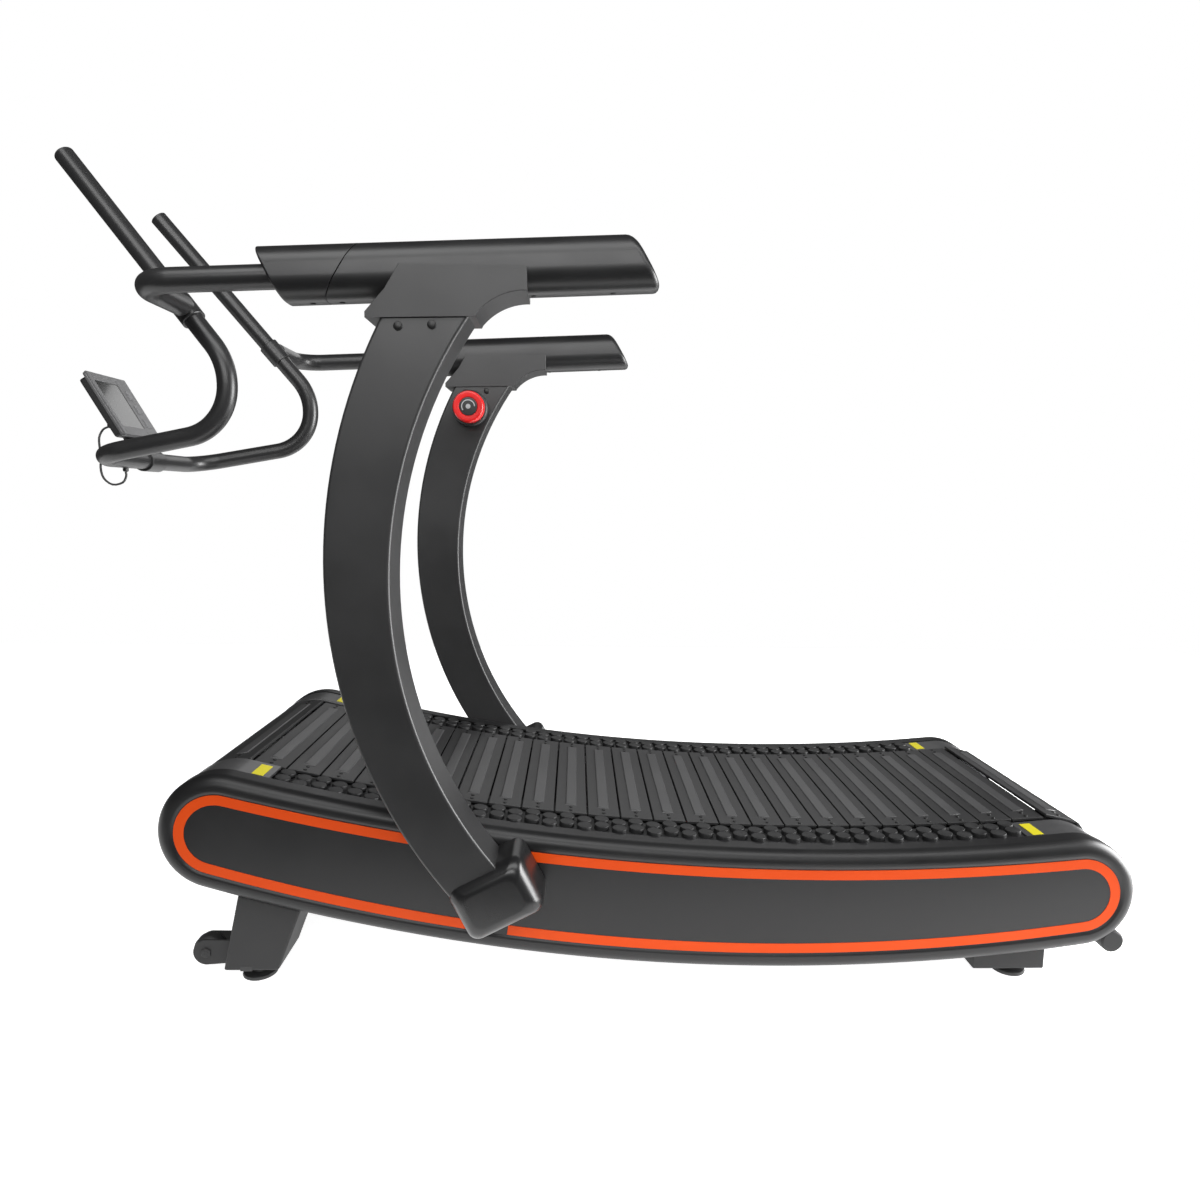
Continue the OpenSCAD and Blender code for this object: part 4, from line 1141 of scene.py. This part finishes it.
@dataclass
class Stand:
    """The front legs and wheels, the levelling feet, the rear brackets and the lift bar."""

    low_x: float = -0.645
    low_z: float = 0.026
    width: float = 0.098
    lean: float = 0.3
    leg_y: tuple[float, float] = (0.205, 0.315)
    foot_y: float = 0.275
    foot_x: tuple[float, float] = (-0.594, 0.812)
    wheel: Point2 = (-0.684, 0.049)
    block_y: tuple[float, float] = (0.233, 0.310)
    bar: Point2 = (0.986, 0.074)
    hook: float = 0.026

    def build(self) -> None:
        """Makes everything under the covers."""
        self.legs()
        self.brackets()
        self.wheels()
        self.feet()
        self.rear()

    def legs(self) -> None:
        """Makes the folded steel legs."""
        x0, x1, z0 = self.low_x, self.low_x + self.width, self.low_z
        run = self.lean * (0.172 - z0)
        top = [
            (x, BOTTOM.low(x, 0.0005))
            for x in (x1 + run - i * (self.width + 0.012) / 8 for i in range(9))
        ]
        mould = Mould().prism([(x0, z0), (x1, z0)] + top, *self.leg_y)
        mould.soften(0.005, 4, 40)
        face = self.leg_y[1]
        # The leg's slot is a thin dark block laid on the face: painted shade in place of the dark inside of
        # the opening.
        low, high = (x0 + 0.030, face - 0.002, z0 - 0.0005), (x0 + 0.052, face + 0.0004, z0 + 0.010)
        slot = Mould().block(low, high)
        slot.soften(0.002, 2)
        mould.mirrored().publish("legs", LEG_PAINT, "leg_steel", nodes=["leg_left", "leg_right"])
        slot.mirrored().publish("leg_slots", CAP_PLASTIC, "cap_black")

    def brackets(self) -> None:
        """Makes the wheel cheeks and their pins."""
        (cx, cz), x0 = self.wheel, self.low_x - 0.0004
        outline = arc((cx, cz), 0.024, 90, 270, 20)
        outline += [(x0, self.low_z + 0.002), (x0 + self.lean * 0.046, self.low_z + 0.046)]
        mould = Mould()
        for y in (self.foot_y - 0.0175, self.foot_y + 0.0135):
            mould.join(Mould().prism(outline, y, y + 0.004).soften(0.0009, 2, 40))
        half = 0.0215
        end = [(0, -half), (0.004, -half), (0.005, 0.0008 - half)]
        pin = end + [(r, -h) for r, h in reversed(end)]
        mould.turned(pin, (cx, self.foot_y, cz), steps=24)
        head = [(0, 0), (0.0088, 0), (0.0095, 0.0012), (0.0095, 0.0026), (0.0078, 0.0036), (0, 0.0036)]
        for way in SIDES:
            mould.turned(head, (cx, self.foot_y + way * 0.0174, cz), (0, way, 0), 6)
        mould.mirrored().publish("wheel_forks", LEG_PAINT, "leg_steel", nodes=["wheel_brackets"])

    def wheels(self) -> None:
        """Makes the two transport wheels."""
        r, w = 0.027, 0.012
        hub = [(0.0052, -w * 0.8), (0.011, -w * 0.8), (0.0125, -w * 0.62), (0.0165, -w * 0.62)]
        half = hub + [(0.018, -w), (r - 0.0035, -w), (r - 0.001, -w * 0.8), (r, -w * 0.5)]
        profile = half + [(a, -b) for a, b in reversed(half)] + [half[0]]
        for side in Side:
            mould = Mould().turned(profile, (self.wheel[0], side.value * self.foot_y, self.wheel[1]))
            name = f"transport_wheel_{side.word}"
            mould.publish(f"wheel_{side.word}", WHEEL_RUBBER, "wheel_rubber", name, [name])

    def feet(self) -> None:
        """Makes the four levelling feet."""
        pad = [(0, 0), (0.0285, 0), (0.0305, 0.0012), (0.031, 0.003), (0.0296, 0.0066), (0.026, 0.008)]
        pad += [(0.0142, 0.0082), (0.013, 0.0095), (0.0128, 0.0118), (0.0115, 0.012), (0, 0.012)]
        threads = [(0, 0.0118)]
        for i in range(28):
            z = 0.0125 + i * 0.00175
            threads += [(0.0055, z), (0.006, z + 0.0006)]
        threads += [(0.0052, 0.0618), (0, 0.062)]
        nut = [(0, 0.0121), (0.0098, 0.0121), (0.0104, 0.0128), (0.0104, 0.0192), (0.0098, 0.02), (0, 0.02)]
        for end, x in zip(("front", "rear"), self.foot_x):
            for side in Side:
                name = f"foot_{end}_{side.word}"
                place = (x, side.value * self.foot_y, 0)
                up = (0, 0, 1)
                Mould().turned(pad, place, up).publish(
                    f"pad_{end}_{side.word}", FOOT_RUBBER, "foot_rubber", name, [name]
                )
                stem = Mould().turned(threads, place, up, 20).turned(nut, place, up, 6)
                stem.publish(f"stem_{end}_{side.word}", THREAD_STEEL, "axle_steel", name)

    def rear(self) -> None:
        """Makes the rear foot brackets and the lift bar."""
        x0, x1, z0 = 0.728, 0.862, 0.019
        top = BOTTOM.between(x1, x0, 0.0005, 8)
        outline = [(x0, z0), (x1, z0)] + [(x, min(z, z0 + 0.06)) for x, z in top]
        mould = Mould().prism(outline, *self.block_y).soften(0.003, 3, 40)
        mould.mirrored().publish("rear_blocks", LEG_PAINT, "leg_steel", nodes=["rear_foot_brackets"])
        end, collar = 0.315, 0.287
        half = [(0, -end), (0.018, -end), (0.021, -end + 0.003), (0.021, -collar - 0.001)]
        half += [(0.0195, -collar), (0.0165, -collar), (0.016, -collar + 0.0005)]
        profile = half + [(r, -h) for r, h in reversed(half)]
        bar = Mould().turned(profile, (self.bar[0], 0, self.bar[1]))
        held = (REAR_END.x + 0.020, REAR_END.z - 0.050)
        way = bearing(self.bar, held)
        plate = arc(self.bar, self.hook, way + 90, way + 270, 20)
        plate += arc(held, self.hook, way - 90, way + 90, 20)
        bar.join(Mould().prism(plate, 0.231, 0.237).soften(0.0012, 2, 40).mirrored())
        bar.publish("lift_bar", LEG_PAINT, "frame_steel", nodes=["rear_lift_bar"])


@dataclass
class Uprights:
    """The curved steel uprights, their boots and the bolts at the arm sockets."""

    front: Arc = Arc(0.430, 0.753, 0.844)
    rear: Arc = Arc(0.427, 0.735, 0.737)
    top: float = 1.184
    foot: float = 0.185
    boot: Point2 = (-0.146, 0.213)
    tilt: float = 27.0
    boot_size: Point2 = (0.140, 0.106)
    boot_y: tuple[float, float] = (0.3335, 0.400)
    crown: Point2 = (0.024, 0.032)
    bolts: tuple[Point2, ...] = ((-0.289, 1.134), (-0.238, 1.137))

    def side(self, circle: Arc, steps: int = 44) -> list[Point2]:
        """Points up one edge of an upright."""
        rise = (self.top - self.foot) / steps
        heights = [self.foot + rise * i for i in range(steps + 1)]
        return [
            (circle.x - math.sqrt(circle.radius**2 - (z - circle.z) ** 2), z) for z in heights
        ]

    def build(self) -> None:
        """Makes both uprights with all that is fixed to them."""
        outline = self.side(self.front) + self.side(self.rear)[::-1]
        mould = Mould().prism(outline, *POST_Y).soften(0.0055, 5, 40)
        tilt = math.radians(self.tilt)
        mould.cut((-0.131, POST_Y[0], 0.187), (math.sin(tilt), 0, -math.cos(tilt)))
        mould.mirrored().publish(
            "uprights", POST_PAINT, "upright_steel", nodes=["upright_left", "upright_right"]
        )
        self.boots()
        self.heads()

    def boots(self) -> None:
        """Makes the moulded boots, drawn in and rounded over at the outer face."""
        depths = [(y, 0.0) for y in self.boot_y]
        for a in range(12, 91, 13):
            turn = math.radians(a)
            drawn = self.crown[0] * (1 - math.cos(turn))
            depths.append((self.boot_y[1] + self.crown[1] * math.sin(turn), drawn))
        wide, high = self.boot_size
        spin = Matrix.Rotation(-math.radians(self.tilt), 3, "Y")
        mould = Mould()
        rings = []
        for y, inset in depths:
            ring = Section.box(wide - 2 * inset, high - 2 * inset, 0.018, 5)
            middle = Vector((self.boot[0], y, self.boot[1]))
            rings.append([middle + spin @ Vector((u, 0, v)) for u, v in ring])
        mould.skin(rings)
        mould.mirrored().publish("boots", BOOT_PLASTIC, "boot_black", nodes=["post_boots"])

    def heads(self) -> None:
        """Makes the domed bolt heads."""
        r, rim, crown = 0.007, 0.0008, 0.0022
        dome = [(0, -0.002), (r, 0), (r, rim)]
        dome += [(r * p, rim + crown * q) for p, q in arc((0, 0), 1.0, 15, 75, 4)]
        dome.append((0.0, rim + crown))
        mould = Mould()
        for x, z in self.bolts:
            mould.turned(dome, (x, POST_Y[1], z), (0, 1, 0), 28)
            mould.turned(dome, (x, POST_Y[0], z), (0, -1, 0), 28)
        mould.mirrored().publish("bolts", SCREW_BLACK, "bolt_steel", nodes=["post_bolts"])


@dataclass
class Arms:
    """The arm rests: a shell with its socket, the sleeve in front of it, and small screws."""

    height: float = 0.084
    width: float = 0.083
    rounding: float = 0.034
    slope: float = math.tan(math.radians(3))
    nose: Point2 = (0.066, 0.114)
    seam: Point2 = (-0.349, -0.403)
    front: Point2 = (-0.508, -0.467)
    screws: tuple[float, ...] = (-0.430, -0.385, -0.088, 0.036)

    def line(self, x: float) -> float:
        """The height of the arm's centre line."""
        return 1.230 + self.slope * (x + 0.150)

    def end(self, cut: Point2) -> tuple[Vector, Vector]:
        """A slanted end: a point on it and the way along the arm across it."""
        high = Vector((cut[0], 0, self.line(cut[0]) + self.height / 2))
        low = Vector((cut[1], 0, self.line(cut[1]) - self.height / 2))
        return (high + low) / 2, (high - low).cross(Vector((0, 1, 0))).normalized()

    def bar(self, x0: float, x1: float) -> Mould:
        """A length of the arm's rounded section."""
        turn = Matrix.Rotation(-math.atan(self.slope), 3, "Y")
        u, v = Vector((0, 1, 0)), turn @ Vector((0, 0, 1))
        frames = [basis(Vector((x, ARM_Y, self.line(x))), u, v) for x in (x0, x1)]
        section = Section.box(self.width, self.height, self.rounding, 8)
        return Mould().loft(section, frames)

    def piece(self, low: Point2, high: Point2, soft0: float, soft1: float) -> Mould:
        """The arm between two slanted ends, each rounded off."""
        mould = self.bar(-0.560, 0.150)
        (p0, n0), (p1, n1) = self.end(low), self.end(high)
        n0 = n0 if n0.x < 0 else -n0
        n1 = n1 if n1.x > 0 else -n1
        mould.cut(p0, n0).cut(p1, n1)
        for place, normal, soft in ((p0, n0, soft0), (p1, n1, soft1)):
            steps = 4 if soft > 0.002 else 2
            mould.soften(soft, steps, 20, lambda p: abs((p - place).dot(normal)) < 1e-4)
        return mould

    def socket(self) -> Mould:
        """The flat-sided socket under the arm that the upright stands in."""
        lip = arc((-0.094, 1.089), 0.1, 140, 90, 14)
        outline = [(-0.338, 1.145), (-0.172, 1.150)] + lip
        outline += [(-0.094, 1.224), (-0.286, 1.224), (-0.308, 1.188), (-0.338, 1.154)]
        mould = Mould().prism(outline, POST_Y[0] - 0.004, POST_Y[1] + 0.004)
        mould.soften(0.010, 5, 50, lambda p: 1.1535 < p.z < 1.222 and abs(p.y - ARM_Y) > 0.04)
        return mould.soften(0.0012, 2, 50, lambda p: p.z < 1.152)

    def build(self) -> None:
        """Makes the shells, sleeves, sockets and screws."""
        shells = self.piece(self.seam, self.nose, 0.0008, 0.012).mirrored()
        nodes = ["arm_shell_left", "arm_shell_right"]
        shells.publish("arm_shells", ARM_PLASTIC, "arm_grey", nodes=nodes)
        self.socket().mirrored().publish("arm_sockets", SOCKET_PLASTIC, "arm_grey")
        gap = (self.seam[0] - 0.001, self.seam[1] - 0.001)
        sleeves = self.piece(self.front, gap, 0.004, 0.0008).mirrored()
        sleeves.publish("sleeves", ARM_PLASTIC, "arm_grey", nodes=["arm_sleeves"])
        head = [(0, -0.003), (0.0045, -0.003), (0.0045, 0.0008), (0.0034, 0.0015), (0, 0.0015)]
        screws = Mould()
        down = Vector((self.slope, 0, -1)).normalized()
        for x in self.screws:
            place = Vector((x, ARM_Y, self.line(x))) + down * (self.height / 2)
            screws.turned(head, place, down, 16)
        screws.mirrored().publish("arm_screw_heads", SCREW_BLACK, "screw_black", nodes=["arm_screws"])


@dataclass
class Handlebar:
    """The bent handlebar, the tubes that carry it, and its clamps and caps."""

    radius: float = 0.017
    tube: float = 0.019
    side: tuple[Point3, ...] = (
        (-0.919, 0.160, 1.464), (-0.630, 0.222, 1.109),
        (-0.630, 0.222, 0.993), (-0.885, 0.195, 0.943),
    )
    clamp_share: float = 0.755
    bends: tuple[float, ...] = (0.105, 0.092, 0.066)
    arms: Arms = field(default_factory=Arms)

    def build(self) -> None:
        """Makes the bar and both arm tubes."""
        other = [(x, -y, z) for x, y, z in reversed(self.side)]
        route = Route([*self.side, *other], [*self.bends, *reversed(self.bends)])
        bar = Mould().tube(route, self.radius, 32)
        bar.publish("bar", BAR_PAINT, "bar_steel", nodes=["handlebar"])
        tip, low = Vector(self.side[0]), Vector(self.side[1])
        run = (low - tip).normalized()
        clamp = tip + (low - tip) * self.clamp_share
        start, high = -0.470, self.arms.line(clamp.x)
        corners = [(start, ARM_Y, self.arms.line(start)), (clamp.x, ARM_Y, high)]
        tube = Route([*corners, (clamp.x, clamp.y + 0.012, high)], [0.058])
        carriers = Mould().tube(tube, self.tube, 32).mirrored()
        carriers.publish("arm_carriers", BAR_PAINT, "bar_steel", nodes=["arm_tubes"])
        self.clamps(clamp, run)
        cap = [(0, -0.004), (0.0155, -0.004), (0.017, -0.0028), (0.017, 0.0008)]
        cap += [(0.0145, 0.0012), (0.0143, 0.012), (0, 0.012)]
        caps = Mould().turned(cap, tuple(tip), tuple(run), 32).mirrored()
        caps.publish("bar_caps", CAP_PLASTIC, "cap_black", nodes=["horn_caps"])

    def clamps(self, place: Vector, run: Vector) -> None:
        """Makes the collars around the bar."""
        half, soft = 0.022, 0.0008
        inner, outer = self.radius + 0.0001, self.radius + 0.004
        end = [(inner, -half), (outer - soft, -half), (outer, soft - half)]
        ring = end + [(r, -h) for r, h in reversed(end)] + [end[0]]
        mould = Mould().turned(ring, tuple(place), tuple(run), 40)
        mould.mirrored().publish("clamps", BAR_PAINT, "bar_steel", nodes=["bar_clamps"])


@dataclass
class Console:
    """The small leaning console: bracket, case, bezel, window and three keys."""

    place: Point3 = (-0.894, 0.0, 0.992)
    lean: float = 30.0
    width: float = 0.136
    height: float = 0.139
    bezel: float = 0.009
    case: float = 0.015
    window: tuple[float, float, float, float] = (-0.016, 0.070, 0.080, 0.100)
    keys: tuple[float, ...] = (0.034, 0.066, 0.098)
    key_y: float = 0.046

    def seat(self) -> Matrix:
        """The console's frame: x out of the face, z up the face."""
        return Matrix.Translation(self.place) @ Matrix.Rotation(-math.radians(self.lean), 4, "Y")

    def slab(
        self, x0: float, x1: float, size: Point2, middle: Point2, corner: float, soft: float
    ) -> Mould:
        """A rounded plate across the face, from depth x0 to x1."""
        u, v = Vector((0, 1, 0)), Vector((0, 0, 1))
        frames = [basis(Vector((x, middle[0], middle[1])), u, v) for x in (x0, x1)]
        mould = Mould().loft(Section.box(*size, corner, 4), frames)
        return mould.soften(soft, 3, 50) if soft else mould

    def fix(
        self,
        mould: Mould,
        name: str,
        finish: Finish,
        slot: str,
        body: str = "frame",
        nodes: Sequence[str] = (),
    ) -> None:
        """Puts a piece built in the console's frame in place and publishes it."""
        placed = Mould().stamp(mould, self.seat())
        mould.bm.free()
        placed.publish(name, finish, slot, body, nodes)

    def build(self) -> None:
        """Makes the console's pieces."""
        middle = self.height / 2
        back = -self.bezel - self.case
        size = (self.width - 0.012, self.height - 0.012)
        case = self.slab(back, -self.bezel + 0.001, size, (0, middle), 0.006, 0.003)
        self.fix(case, "case", CONSOLE_PLASTIC, "console_black", nodes=["console_case"])
        self.front(middle)
        y, z, w, h = self.window
        glass = self.slab(-0.005, -0.0012, (w - 0.0002, h - 0.0002), (y, z), 0.0015, 0.0)
        self.fix(glass, "glass", SCREEN_GLASS, "screen_glass", nodes=["console_screen"])
        for i, z in enumerate(self.keys, 1):
            key = self.slab(-0.005, 0.0015, (0.018, 0.020), (self.key_y, z), 0.0025, 0.0008)
            name = f"console_key_{i}"
            self.fix(key, f"key_{i}", KEY_RUBBER, "key_rubber", name, [name])
        self.bracket(back)
        gland = [(0, 0), (0.005, 0), (0.005, 0.0035), (0.0036, 0.005), (0, 0.005)]
        behind = Mould().turned(gland, (back, -0.050, 0.034), (-1, 0, 0), 20)
        glands = Mould().stamp(behind, self.seat())
        behind.bm.free()
        tall = [(0, 0), (0.005, 0), (0.005, 0.0055), (0.0036, 0.007), (0, 0.007)]
        glands.turned(tall, (-0.885, -0.092, 0.926), (0, 0, -1), 20)
        glands.publish("glands", CAP_PLASTIC, "cable_black", nodes=["cable_glands"])

    def front(self, middle: float) -> None:
        """Makes the bezel: a backing plate and a raised frame around the window."""
        size = (self.width, self.height)
        plate = self.slab(-self.bezel, -0.0028, size, (0, middle), 0.006, 0.0015)
        y, z, w, h = self.window
        left, right = y - w / 2, y + w / 2
        low, high = z - h / 2, z + h / 2
        edge = 0.0008
        half, top = self.width / 2 - edge, self.height - edge
        spans = [
            ((-half, left), (edge, top)),
            ((right, half), (edge, top)),
            ((left, right), (edge, low)),
            ((left, right), (high, top)),
        ]
        for (y0, y1), (z0, z1) in spans:
            bar = Mould().block((-0.004, y0, z0), (0, y1, z1))
            plate.join(bar.soften(0.0009, 2, where=lambda p: p.x > -0.001))
        self.fix(plate, "bezel", BEZEL_PLASTIC, "bezel_grey", nodes=["console_bezel"])

    def bracket(self, back: float) -> None:
        """Makes the saddle on the crossbar and the plate behind the case."""
        half, (cx, cz) = 0.028, (-0.885, 0.943)
        plate = self.slab(back - 0.003, back, (0.056, 0.078), (0, 0.025), 0.004, 0.0008)
        mould = Mould().stamp(plate, self.seat())
        plate.bm.free()
        end = [(0.0172, -half), (0.0202, -half), (0.021, -half + 0.0008)]
        mould.turned(end + [(r, -h) for r, h in reversed(end)] + [end[0]], (cx, 0, cz))
        web = [(cx - 0.019, cz + 0.006), (cx + 0.012, cz + 0.014)]
        web += [(-0.897, 0.974), (-0.903, 0.981), (-0.917, 0.9815)]
        mould.join(Mould().prism(web, -half, half).soften(0.001, 2, 40))
        mould.publish("neck", BAR_PAINT, "bar_steel", nodes=["console_bracket"])


@dataclass
class Knob:
    """The resistance knob on the inner face of the right-hand upright."""

    place: Point2 = (-0.277, 1.094)
    face: float = 0.335

    def build(self) -> None:
        """Makes the fixed base and the turning knob."""
        x, z = self.place
        inward = (0, -1, 0)
        base = [(0, -0.001), (0.043, -0.001), (0.043, 0.016), (0.0415, 0.0195), (0.037, 0.022), (0, 0.022)]
        Mould().turned(base, (x, self.face, z), inward, 64).publish(
            "knob_seat", CAP_PLASTIC, "knob_base_black", nodes=["knob_base"]
        )
        grip = [(0, 0.0223), (0.034, 0.0223), (0.0365, 0.0235), (0.0375, 0.027), (0.0375, 0.046)]
        grip += [(0.0366, 0.0500), (0.0345, 0.0521), (0.0320, 0.0523), (0.0235, 0.0518)]
        grip += [(0.0220, 0.0500), (0, 0.0495)]
        Mould().turned(grip, (x, self.face, z), inward, 64).publish(
            "knob_ring", KNOB_RED, "knob_red", "resistance_knob", ["resistance_knob"]
        )
        core = [(0, 0.049), (0.0216, 0.049), (0.0216, 0.0506), (0.0206, 0.0514), (0.004, 0.0517)]
        core.append((0, 0.0517))
        Mould().turned(core, (x, self.face, z), inward, 48).publish(
            "knob_core", CAP_PLASTIC, "knob_base_black", "resistance_knob"
        )
        low, high = 0.0512, 0.0521
        mark = [(0.0140, low), (0.0165, low), (0.0163, high), (0.0142, high), (0.0140, low)]
        ring = Mould().turned(mark, (x, self.face, z), inward, 48)
        ring.cut((x, 0.3, z - 0.005), (0.35, 0, -1))
        dot = [(0, low), (0.0060, low), (0.0056, high), (0, high)]
        ring.turned(dot, (x, self.face, z), inward, 24)
        ring.publish("knob_mark", KNOB_MARK, "knob_base_black", "resistance_knob")


@dataclass
class Cable:
    """The thin free loop from the console's case to the crossbar."""

    radius: float = 0.002
    corners: tuple[Point3, ...] = (
        (-0.9364, -0.050, 1.0067), (-0.946, -0.052, 1.001), (-0.951, -0.058, 0.985),
        (-0.944, -0.070, 0.962), (-0.934, -0.085, 0.944), (-0.930, -0.096, 0.926),
        (-0.922, -0.102, 0.906), (-0.906, -0.102, 0.894), (-0.889, -0.098, 0.898),
        (-0.885, -0.092, 0.910), (-0.885, -0.092, 0.9188),
    )
    steps: int = 3

    def path(self) -> list[Vector]:
        """A smooth line through the corners."""
        shift = Vector((Mould.mid_x, 0, 0))
        knots = [Vector(p) - shift for p in self.corners]
        knots = [2 * knots[0] - knots[1], *knots, 2 * knots[-1] - knots[-2]]
        line = [knots[1]]
        for before, start, end, after in zip(knots, knots[1:], knots[2:], knots[3:]):
            lead, trail = (end - before) / 2, (after - start) / 2
            for i in range(1, self.steps + 1):
                t = i / self.steps
                line.append(
                    (2 * t**3 - 3 * t**2 + 1) * start + (t**3 - 2 * t**2 + t) * lead
                    + (3 * t**2 - 2 * t**3) * end + (t**3 - t**2) * trail
                )
        return line

    def build(self) -> None:
        """Makes the cord as one open curve."""
        line = self.path()
        data = bpy.data.curves.new("cable", "CURVE")
        data.dimensions = "3D"
        data.bevel_depth = self.radius
        data.bevel_resolution = 4
        data.use_fill_caps = True
        spline = data.splines.new("POLY")
        spline.points.add(len(line) - 1)
        for point, place in zip(spline.points, line):
            point.co = (*place, 1.0)
        made = bpy.data.objects.new("cable", data)
        bpy.context.scene.collection.objects.link(made)
        data.materials.append(Mould.paints[CORD_SHEATH])
        length = sum((b - a).length for a, b in zip(line, line[1:]))
        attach(made, "frame")
        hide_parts("console_cable")
        line[0]
        log.info("cable: %.3f m long", length)


@dataclass
class Studio:
    """The camera, the pale floor and the soft lights."""

    eye: Point3 = (-0.01748, -1.67941, 0.87796)
    forward: Point3 = (0.0311391, 0.9916486, -0.1251533)
    up: Point3 = (-0.0085658, 0.1254742, 0.9920599)
    glow: float = 0.92
    dim: float = 0.06

    def camera(self) -> None:
        """Stands the camera."""
        ahead, up = Vector(self.forward).normalized(), Vector(self.up)
        across = ahead.cross(up).normalized()
        up = across.cross(ahead)
        data = bpy.data.cameras.new("camera")
        data.lens, data.sensor_width = 24.0, 36.0
        data.clip_end = 60
        made = bpy.data.objects.new("camera", data)
        bpy.context.scene.collection.objects.link(made)
        where = Vector(self.eye) - Vector((Mould.mid_x, 0, 0))
        turn = Matrix((across, up, -ahead)).transposed().to_4x4()
        made.matrix_world = Matrix.Translation(where) @ turn
        bpy.context.scene.camera = made

    def light(self, name: str, place: Point3, aim: Point3, size: Point2, power: float) -> None:
        """Hangs one soft box."""
        data = bpy.data.lights.new(name, "AREA")
        data.shape = "RECTANGLE"
        data.size, data.size_y = size
        data.energy = power
        made = bpy.data.objects.new(name, data)
        made.location = place
        made.rotation_euler = (Vector(aim) - Vector(place)).to_track_quat("-Z", "Y").to_euler()
        bpy.context.scene.collection.objects.link(made)

    def floor(self) -> None:
        """Lays the pale floor, which glows a little as a lit sweep of paper does."""
        bm = bmesh.new()
        place = Matrix.Translation((0.0, 1.1, -0.0005)) @ Matrix.Diagonal((3.6, 1.9, 1, 1))
        bmesh.ops.create_grid(bm, x_segments=1, y_segments=1, size=1.0, matrix=place)
        mesh = bpy.data.meshes.new("floor")
        bm.to_mesh(mesh)
        bm.free()
        made = bpy.data.objects.new("floor", mesh)
        shader = Shader("floor_paper")
        paper = {
            "Base Color": (0.9, 0.9, 0.9, 1),
            "Roughness": 0.9,
            "Specular IOR Level": 0.1,
            "Emission Color": (1, 1, 1, 1),
            "Emission Strength": self.glow,
        }
        mesh.materials.append(shader.finish(paper))
        bpy.context.scene.collection.objects.link(made)

    def air(self) -> None:
        """Makes a white backdrop that lights the room only dimly."""
        world = bpy.data.worlds.new("air")
        world.use_nodes = True
        tree = world.node_tree
        back = tree.nodes["Background"]
        back.inputs["Color"].default_value = (1, 1, 1, 1)
        ray = tree.nodes.new("ShaderNodeLightPath")
        share = tree.nodes.new("ShaderNodeMapRange")
        share.inputs["To Min"].default_value = self.dim
        tree.links.new(ray.outputs["Is Camera Ray"], share.inputs["Value"])
        tree.links.new(share.outputs["Result"], back.inputs["Strength"])
        bpy.context.scene.world = world

    def build(self) -> None:
        """Sets up the floor, the air and the lights."""
        self.floor()
        self.air()
        self.light("over", (0.1, -1.5, 2.6), (0.1, -0.3, 0.3), (3.6, 1.1), 55)
        self.light("right", (3.0, -0.2, 1.0), (0.1, 0.0, 0.6), (1.6, 2.0), 200)
        self.light("front", (-0.3, -3.6, 2.2), (-0.2, 0.0, 1.2), (3.0, 0.7), 60)
        self.light("back", (0.3, 3.4, 2.4), (0.2, 0.0, 0.3), (3.6, 1.0), 16)
        bpy.context.scene.view_settings.view_transform = "Standard"


def main() -> None:
    """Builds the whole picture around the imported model."""
    logging.basicConfig(level=logging.INFO, format="%(name)s: %(message)s")
    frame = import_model()
    nodes = frame["nodes"]
    low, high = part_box("transport_wheel_left")
    Mould.mid_x = WHEEL_X - (low[0] + high[0]) / 2
    studio = Studio()
    studio.camera()
    Cable().build()
    dress(nodes, POWDER_BLACK, "side_frame_left", "side_frame_right", "cross_tubes", "magnet_yoke")
    dress(nodes, TURNED_METAL, "axle_rods", "drum_bearings", "front_drum", "rear_drum", "brake_disc")
    dress(nodes, STRAP_RUBBER, "belt_straps")
    dress(nodes, CORD_SHEATH, "brake_cable")
    dress(nodes, ROLLER_NYLON, *(f"guide_roller_{i}" for i in range(1, 7)))
    for assembly in (Belt, Rails, SideCovers, Stand, Uprights, Arms, Handlebar, Console, Knob):
        assembly().build()
    studio.build()


if __name__ == "__main__":
    main()
